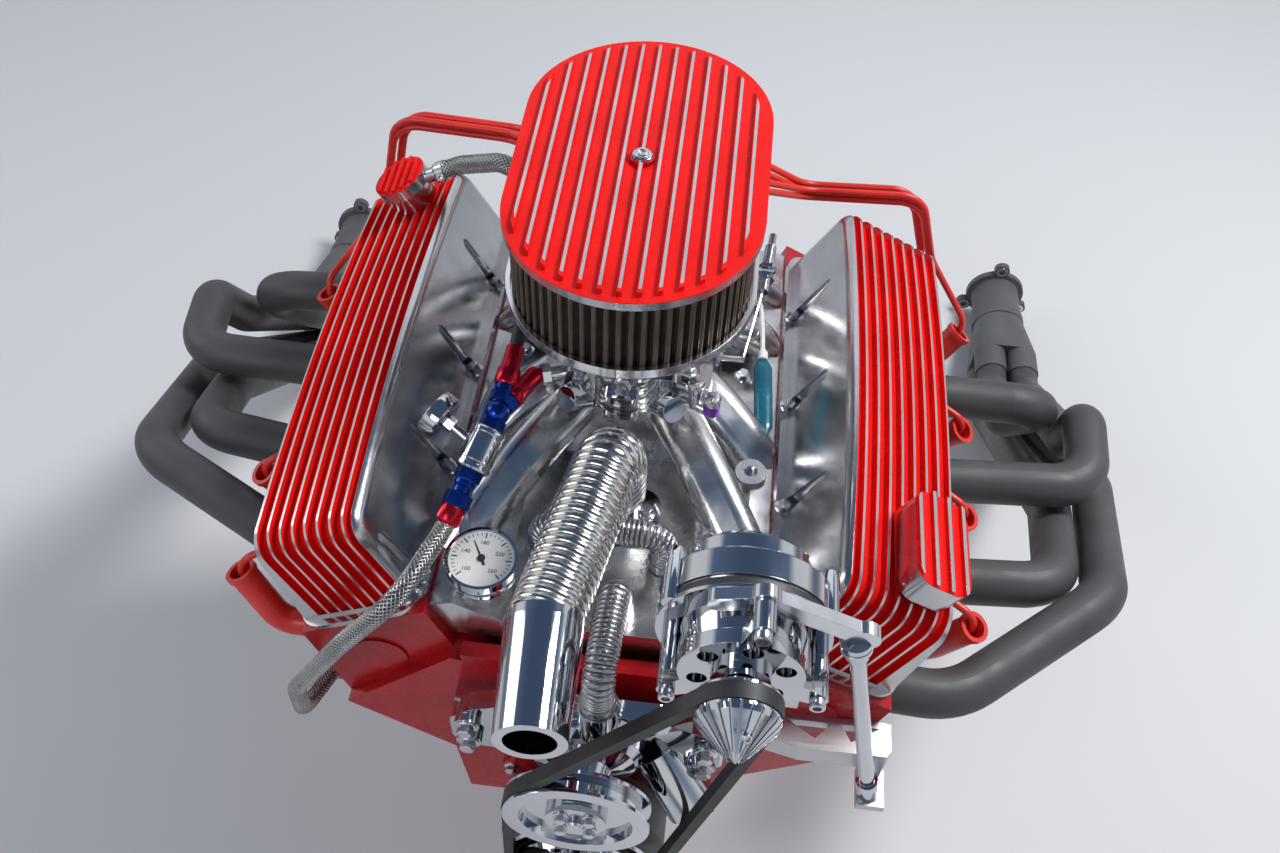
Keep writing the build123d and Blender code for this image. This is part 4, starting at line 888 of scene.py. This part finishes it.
def temperature_dial():
    cx, cy, z = -98.0, -453.0, 282.0
    face = Shape()
    face.lathe([(0, z + 0.1), (27.2, z + 0.1), (27.2, z + 0.5), (0, z + 0.5)],
               axes_at((cx, cy, 0), (0, 0, 1)), 64)
    face.done("dial_face", dial_white)
    marks = Shape()
    for step in range(31):
        turn = math.radians(225 - step * 9)
        major = step % 5 == 0
        inner = 20.0 if major else 22.4
        at = axes_at((cx, cy, z + 0.5), (0, 0, 1), (math.cos(turn), math.sin(turn), 0))
        half = 0.55 if major else 0.28
        marks.block((inner, -half, 0), (25.2, half, 0.15), at, 0)
    turn = math.radians(118)
    at = axes_at((cx, cy, z + 0.9), (0, 0, 1), (math.cos(turn), math.sin(turn), 0))
    marks.prism([(-7, -1.1), (19, -0.25), (19, 0.25), (-7, 1.1)], at, 0, 0.3)
    marks.lathe([(0, 0), (3.2, 0), (3.2, 1.4), (0, 1.6)], at, 20)
    marks.done("dial_marks", dial_black)
    for step, words in enumerate(("100", "140", "180", "220", "260")):
        turn = math.radians(225 - step * 67.5)
        text = bpy.data.curves.new("dial_number", "FONT")
        text.body = words
        text.size = 5.2 * MM
        text.align_x = "CENTER"
        text.align_y = "CENTER"
        text.extrude = 0.05 * MM
        mesh_source = bpy.data.objects.new("dial_number_text", text)
        bpy.context.scene.collection.objects.link(mesh_source)
        bpy.context.view_layer.update()
        mesh = bpy.data.meshes.new_from_object(mesh_source)
        bpy.data.objects.remove(mesh_source)
        mesh.transform(Matrix.Translation(((cx + 15.4 * math.cos(turn)) * MM,
                                           (cy + 15.4 * math.sin(turn)) * MM, (z + 0.62) * MM)))
        mesh.materials.clear()
        mesh.materials.append(dial_black)
        piece = bpy.data.objects.new(f"dial_number_{step}", mesh)
        bpy.context.scene.collection.objects.link(piece)
        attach(piece, "engine")


def fuel_details():
    """Fuel inlet, tee, filter and pressure gauge, with the branch to the rear bowl."""
    way = Vector((-22.0, -8.0, 0.0)).normalized()
    inlet = Vector((-62.0, -304.0, 350.0)) + way * 0.3
    turn = inlet + way * 14
    tee = Vector(TEE)
    outlet = Vector(FILTER_OUTLET)
    run = axes_at(tee, outlet - tee)
    feed = axes_at(turn, tee - turn)
    rise_end = tee + Vector((6.0, 60.0, 16.0))
    rise = axes_at(tee, rise_end - tee)
    parts = []
    bright = Shape()
    bright.prism(hexagon(9.4), axes_at(inlet, way), 0.0, 8.0, 0.8)
    bright.lathe([(0, 15.2), (13.4, 15.2), (15.0, 17), (15.0, 20), (14.4, 20.6), (14.4, 22.6), (15.0, 23.2),
                  (15.0, 44.6), (14.4, 45.2), (14.4, 47.2), (15.0, 47.8), (15.0, 50.8), (13.4, 52.4),
                  (0, 52.4)], run, 48)
    gauge = Vector((-140.0, -366.0, 350.0))
    start = Vector((-109.0, -382.0, 336.0))
    face = axes_at(gauge, gauge - start)
    bright.lathe([(0, 0), (18.6, 0), (20, 1.4), (20, 11.6), (18.8, 13.6), (17.2, 14.0), (17.0, 12.2),
                  (0, 12.2)], face, 48)
    bright.prism(hexagon(6.6), face, -9.0, 0.0, 0.6)
    bright.tube([start, gauge], 4.2, 16)
    parts.append(bright.done("filter_and_gauge", chrome))
    blue = Shape()
    blue.ball(tee, 11.0)
    blue.prism(hexagon(11.0), run, 6.0, 15.0, 0.8)
    blue.prism(hexagon(11.4), run, 52.6, 62.0, 0.8)
    blue.lathe([(0, 60), (9.2, 60), (9.2, 66), (7.4, 68), (7.4, 73), (0, 73)], run, 24)
    blue.prism(hexagon(10.4), feed, 34.0, 42.0, 0.8)
    blue.lathe([(0, 30), (8.0, 30), (8.0, 46), (0, 46)], feed, 24)
    blue.prism(hexagon(10.4), rise, 10.0, 20.0, 0.8)
    blue.lathe([(0, 0), (8.0, 0), (8.0, 26), (0, 26)], rise, 24)
    parts.append(blue.done("fuel_fittings", blue_anodised))
    red = Shape()
    red.ball(turn, 8.4)
    red.lathe([(0, 0), (8.6, 0), (8.6, 22), (10.0, 24), (10.0, 31), (8.6, 32), (0, 32)], feed, 28)
    red.lathe([(0, 25), (8.6, 25), (10.0, 27), (10.0, 40), (8.4, 43), (8.0, 62), (0, 62)], rise, 28)
    parts.append(red.done("fuel_hose_ends", red_anodised))
    dial = Shape()
    dial.lathe([(0, 12.4), (16.9, 12.4), (16.9, 12.8), (0, 12.8)], face, 40)
    parts.append(dial.done("fuel_dial", dial_white))
    marks = Shape()
    for step in range(16):
        turned = math.radians(220 - step * 17)
        at = face @ Matrix.Rotation(turned, 4, "Z")
        marks.block((12.0, -0.4, 12.8), (15.4, 0.4, 12.95), at, 0)
    at = face @ Matrix.Rotation(math.radians(140), 4, "Z")
    marks.prism([(-4, -0.8), (11, -0.2), (11, 0.2), (-4, 0.8)], at, 13.0, 13.3)
    parts.append(marks.done("fuel_dial_marks", dial_black))
    for part in parts:
        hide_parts("fuel_filter")
    branch = Shape()
    branch.tube(rounded_route([rise_end, rise_end + Vector((0.6, 20, 5)), (-92, -190, 366), (-88, -132, 352),
                               (-51, -126, 350)], 22, 3), 6.0, 16)
    branch.done("rear_feed_hose", black_rubber)
    nut = Shape()
    nut.prism(hexagon(9.2), axes_at((-50.5, -126, 350), (-1, 0, 0)), 0, 9, 0.8)
    nut.done("rear_feed_nut", blue_anodised)


def carburettor_details():
    bright = Shape()
    front = -316.0
    for x in (-37, 37):
        for z in (334, 362):
            bright.hex_bolt((x, front, z), (0, -1, 0), 4.6, 4.6, washer=False)
            bright.hex_bolt((x, -101, z), (0, 1, 0), 4.6, 4.6, washer=False)
    for x in (-11, 11):
        for z in (325, 343):
            bright.socket_screw((x, front - 6, z), (0, -1, 0), 2.4, 2.2)
    bright.hex_bolt((0, front, 357), (0, -1, 0), 6.4, 5.0)
    for y in (-286.0, -126.0):
        at = axes_at((0, y, 370), (0, 0, 1))
        bright.prism(hexagon(8.0), at, 0, 6, 0.8)
        bright.socket_screw((0, y, 376), (0, 0, 1), 4.4, 4.0)
    for x, y in ((-54, -262), (54, -262), (-54, -132), (54, -132)):
        bright.tube([(x, y, 322), (x, y, 334)], 3.4, 12)
        bright.hex_bolt((x, y, 322), (0, 0, 1), 5.6, 5.4)
    for x, y, top in ((62, -306, 362), (77, -314, 354)):
        bright.lathe([(0, 330), (5.4, 330), (5.4, top - 8), (0, top - 8)], axes_at((x, y, 0), (0, 0, 1)), 20)
        bright.lathe([(7.2, top - 9), (7.6, top - 8), (7.6, top - 4), (6.0, top - 1), (2.0, top), (0, top)],
                     axes_at((x, y, 0), (0, 0, 1)), 24)
    bright.tube([(42, -300, 333), (62, -306, 332), (79, -315, 332)], 5.0, 12)
    bright.done("carburettor_screws", steel)
    spring = Shape()
    coil = [(77 + 6.4 * math.cos(k * 0.5), -314 + 6.4 * math.sin(k * 0.5), 333 + k * 0.17) for k in range(76)]
    spring.tube(coil, 1.0, 6)
    spring.done("pump_spring", purple)
    linkage = Shape()
    thick = 3
    for x, side in ((77, 1), (-77, -1)):
        # The levers' inner faces are equally far from the middle
        low = x if side > 0 else x - thick
        at = Matrix(((0, 0, 1, low), (1, 0, 0, 0), (0, 1, 0, 0), (0, 0, 0, 1)))
        for outline in ([(-240, 309), (-222, 309), (-226, 330), (-262, 352), (-270, 346), (-240, 326)],
                        [(-172, 309), (-154, 309), (-150, 330), (-160, 336), (-170, 328)]):
            linkage.prism(outline, at, 0, thick, 0.4)
        linkage.tube([(x + side * 4, -228, 312), (x + side * 4, -164, 330)], 2.0, 10)
    linkage.done("throttle_levers", steel)
    cable = Shape()
    cable.tube([(100, -262, 348), (112, -196, 368)], 1.2, 8)
    cable.tube([(78, -264, 348), (101, -264, 348)], 2.6, 12)
    at = axes_at((112, -200, 368), (0.08, 1.0, 0.14))
    threads = [(0, 0)]
    for k in range(22):
        threads += [(4.6, k * 2.4), (5.3, k * 2.4 + 1.2)]
    threads += [(4.6, 53), (3.4, 54), (3.4, 66), (0, 66)]
    cable.lathe(threads, at, 20)
    for low in (14, 24):
        cable.prism(hexagon(8.6), at, low, low + 5, 0.6)
    cable.done("cable_adjuster", chrome)
    bracket = Shape()
    place = Matrix(((1, 0, 0, 0), (0, 0, 1, 0), (0, 1, 0, 0), (0, 0, 0, 1)))
    bracket.prism([(66, 313), (88, 313), (120, 352), (120, 376), (104, 376), (100, 356), (66, 321)], place,
                  -181, -178, 0.4)
    bracket.block((60, -192, 310), (90, -164, 313.4), None, 0.4)
    bracket.done("cable_bracket", satin)


def small_tubes():
    teal = Shape()
    line = resampled([Vector((121, -196, 279)), Vector((124, -240, 276)), Vector((127, -286, 270))], 3.0)
    count = len(line) - 1

    def oval(i, turn):
        end = min(1.0, 0.35 + 5.0 * min(i, count - i) / count)
        wide, thick = 8.6 * end, 4.0 * end
        return wide * thick / math.hypot(thick * math.cos(turn), wide * math.sin(turn))

    teal.tube(line, oval, 20)
    teal.done("teal_sleeve", teal_tube)
    lead = Shape()
    route = [(121, -198, 279), (119, -160, 281), (117, -120, 268), (112, -100, 262)]
    lead.tube(rounded_route(route, 30, 3), 2.4, 10)
    lead.lathe([(0, 0), (5.0, 0), (5.0, 9), (3.4, 12), (0, 12)], axes_at((121, -200, 279), (0, 1, 0.03)), 16)
    lead.done("thin_lead", dial_white)
    clear = Graph("clear_tube", "blue_anodised")
    cloudy = clear.mix(clear.noise(30.0), (0.20, 0.30, 0.46, 1.0), (0.34, 0.44, 0.58, 1.0))
    clear.set(colour=cloudy, rough=0.18, clear=0.45)
    hose = Shape()
    hose.tube(rounded_route([(-104, -214, 262), (-110, -234, 292), (-122, -300, 296), (-126, -390, 284),
                             (-118, -430, 262), (-112, -446, 256)], 26, 3), 4.6, 16)
    hose.done("vacuum_tube", clear.material)


def loom_details():
    bars = Shape()
    for side, places in ((1, (-24, -140, -242)), (-1, (-4, -140, -262))):
        for y in places:
            bars.block((side * 266.5 - 11.5, y - 4, 171), (side * 266.5 + 11.5, y + 4, 192), None, 0.8)
    bars.done("loom_separators", polished)


def hidden_side_details():
    pan = Shape()
    for side in (1, -1):
        for y in range(-480, -20, 46):
            pan.hex_bolt((side * 111, y, -66), (0, 0, -1), 4.6, 4.6)
    pan.hex_bolt((0, -26, -172), (0, 1, 0), 9.0, 7.0)
    for x in (-60, -20, 20, 60):
        pan.hex_bolt((x, -496, -66), (0, 0, -1), 4.6, 4.6)
    pan.done("pan_bolts", steel)
    plugs = Shape()
    for side in (1, -1):
        for y in (-225.0, -160.0):
            at = axes_at((side * (block_side(-6.0) - 3.0), y, -6), (side, 0, 0))
            plugs.lathe([(0, 0.4), (15.5, 0.4), (17.0, 1.0), (18.6, 3.2), (19.8, 3.2), (19.8, 0.2)], at, 40)
    plugs.done("core_plugs", steel)
    mounts = Shape()
    for side in (1, -1):
        for y in (-372, -304):
            for z in (-40, 6):
                place = (side * (block_side(z) + 10.0), y + bank_shift(side), z)
                mounts.hex_bolt(place, (side, 0, 0.05), 7.0, 6.0)
    mounts.done("mount_bolts", steel)
    can = Shape()
    for k in range(12):
        turn = 2 * math.pi * k / 12
        at = axes_at((158 + 36.6 * math.cos(turn), -75 + 36.6 * math.sin(turn), -141), (0, 0, 1))
        can.lathe([(0, 0), (2.6, 0), (2.6, 18), (0, 20)], at, 8)
    can.done("filter_flutes", dark_steel)
    starter = Shape()
    for z in (-98, -34):
        starter.hex_bolt((-162, -206, z), (0, -1, 0), 4.6, 6.0)
    starter.lathe([(0, 0), (16, 0), (16, 3), (0, 3)], axes_at((-206, -150, -62), (0, -1, 0)), 32)
    for x in (-214, -198):
        starter.tube([(x, -153, -62), (x, -164, -62)], 3.0, 12)
        starter.hex_bolt((x, -153, -62), (0, -1, 0), 5.0, 4.0)
    starter.done("starter_studs", steel)
    clips = Shape()
    for side in (1, -1):
        clips.hex_bolt((side * 39, -50, 346), (0, 0, 1), 4.0, 4.0, washer=False)
        clips.tube([(side * 44.6, -50, 306), (side * 44.9, -50, 338), (side * 39, -50, 348)], 2.0, 8)
    clips.done("distributor_clips", steel)


temperature_dial()
fuel_details()
carburettor_details()
small_tubes()
loom_details()
hidden_side_details()
air_cleaner_details()
hose_details()
braid_details()
cover_details()
intake_details()
front_details()
alternator_details()
header_details()
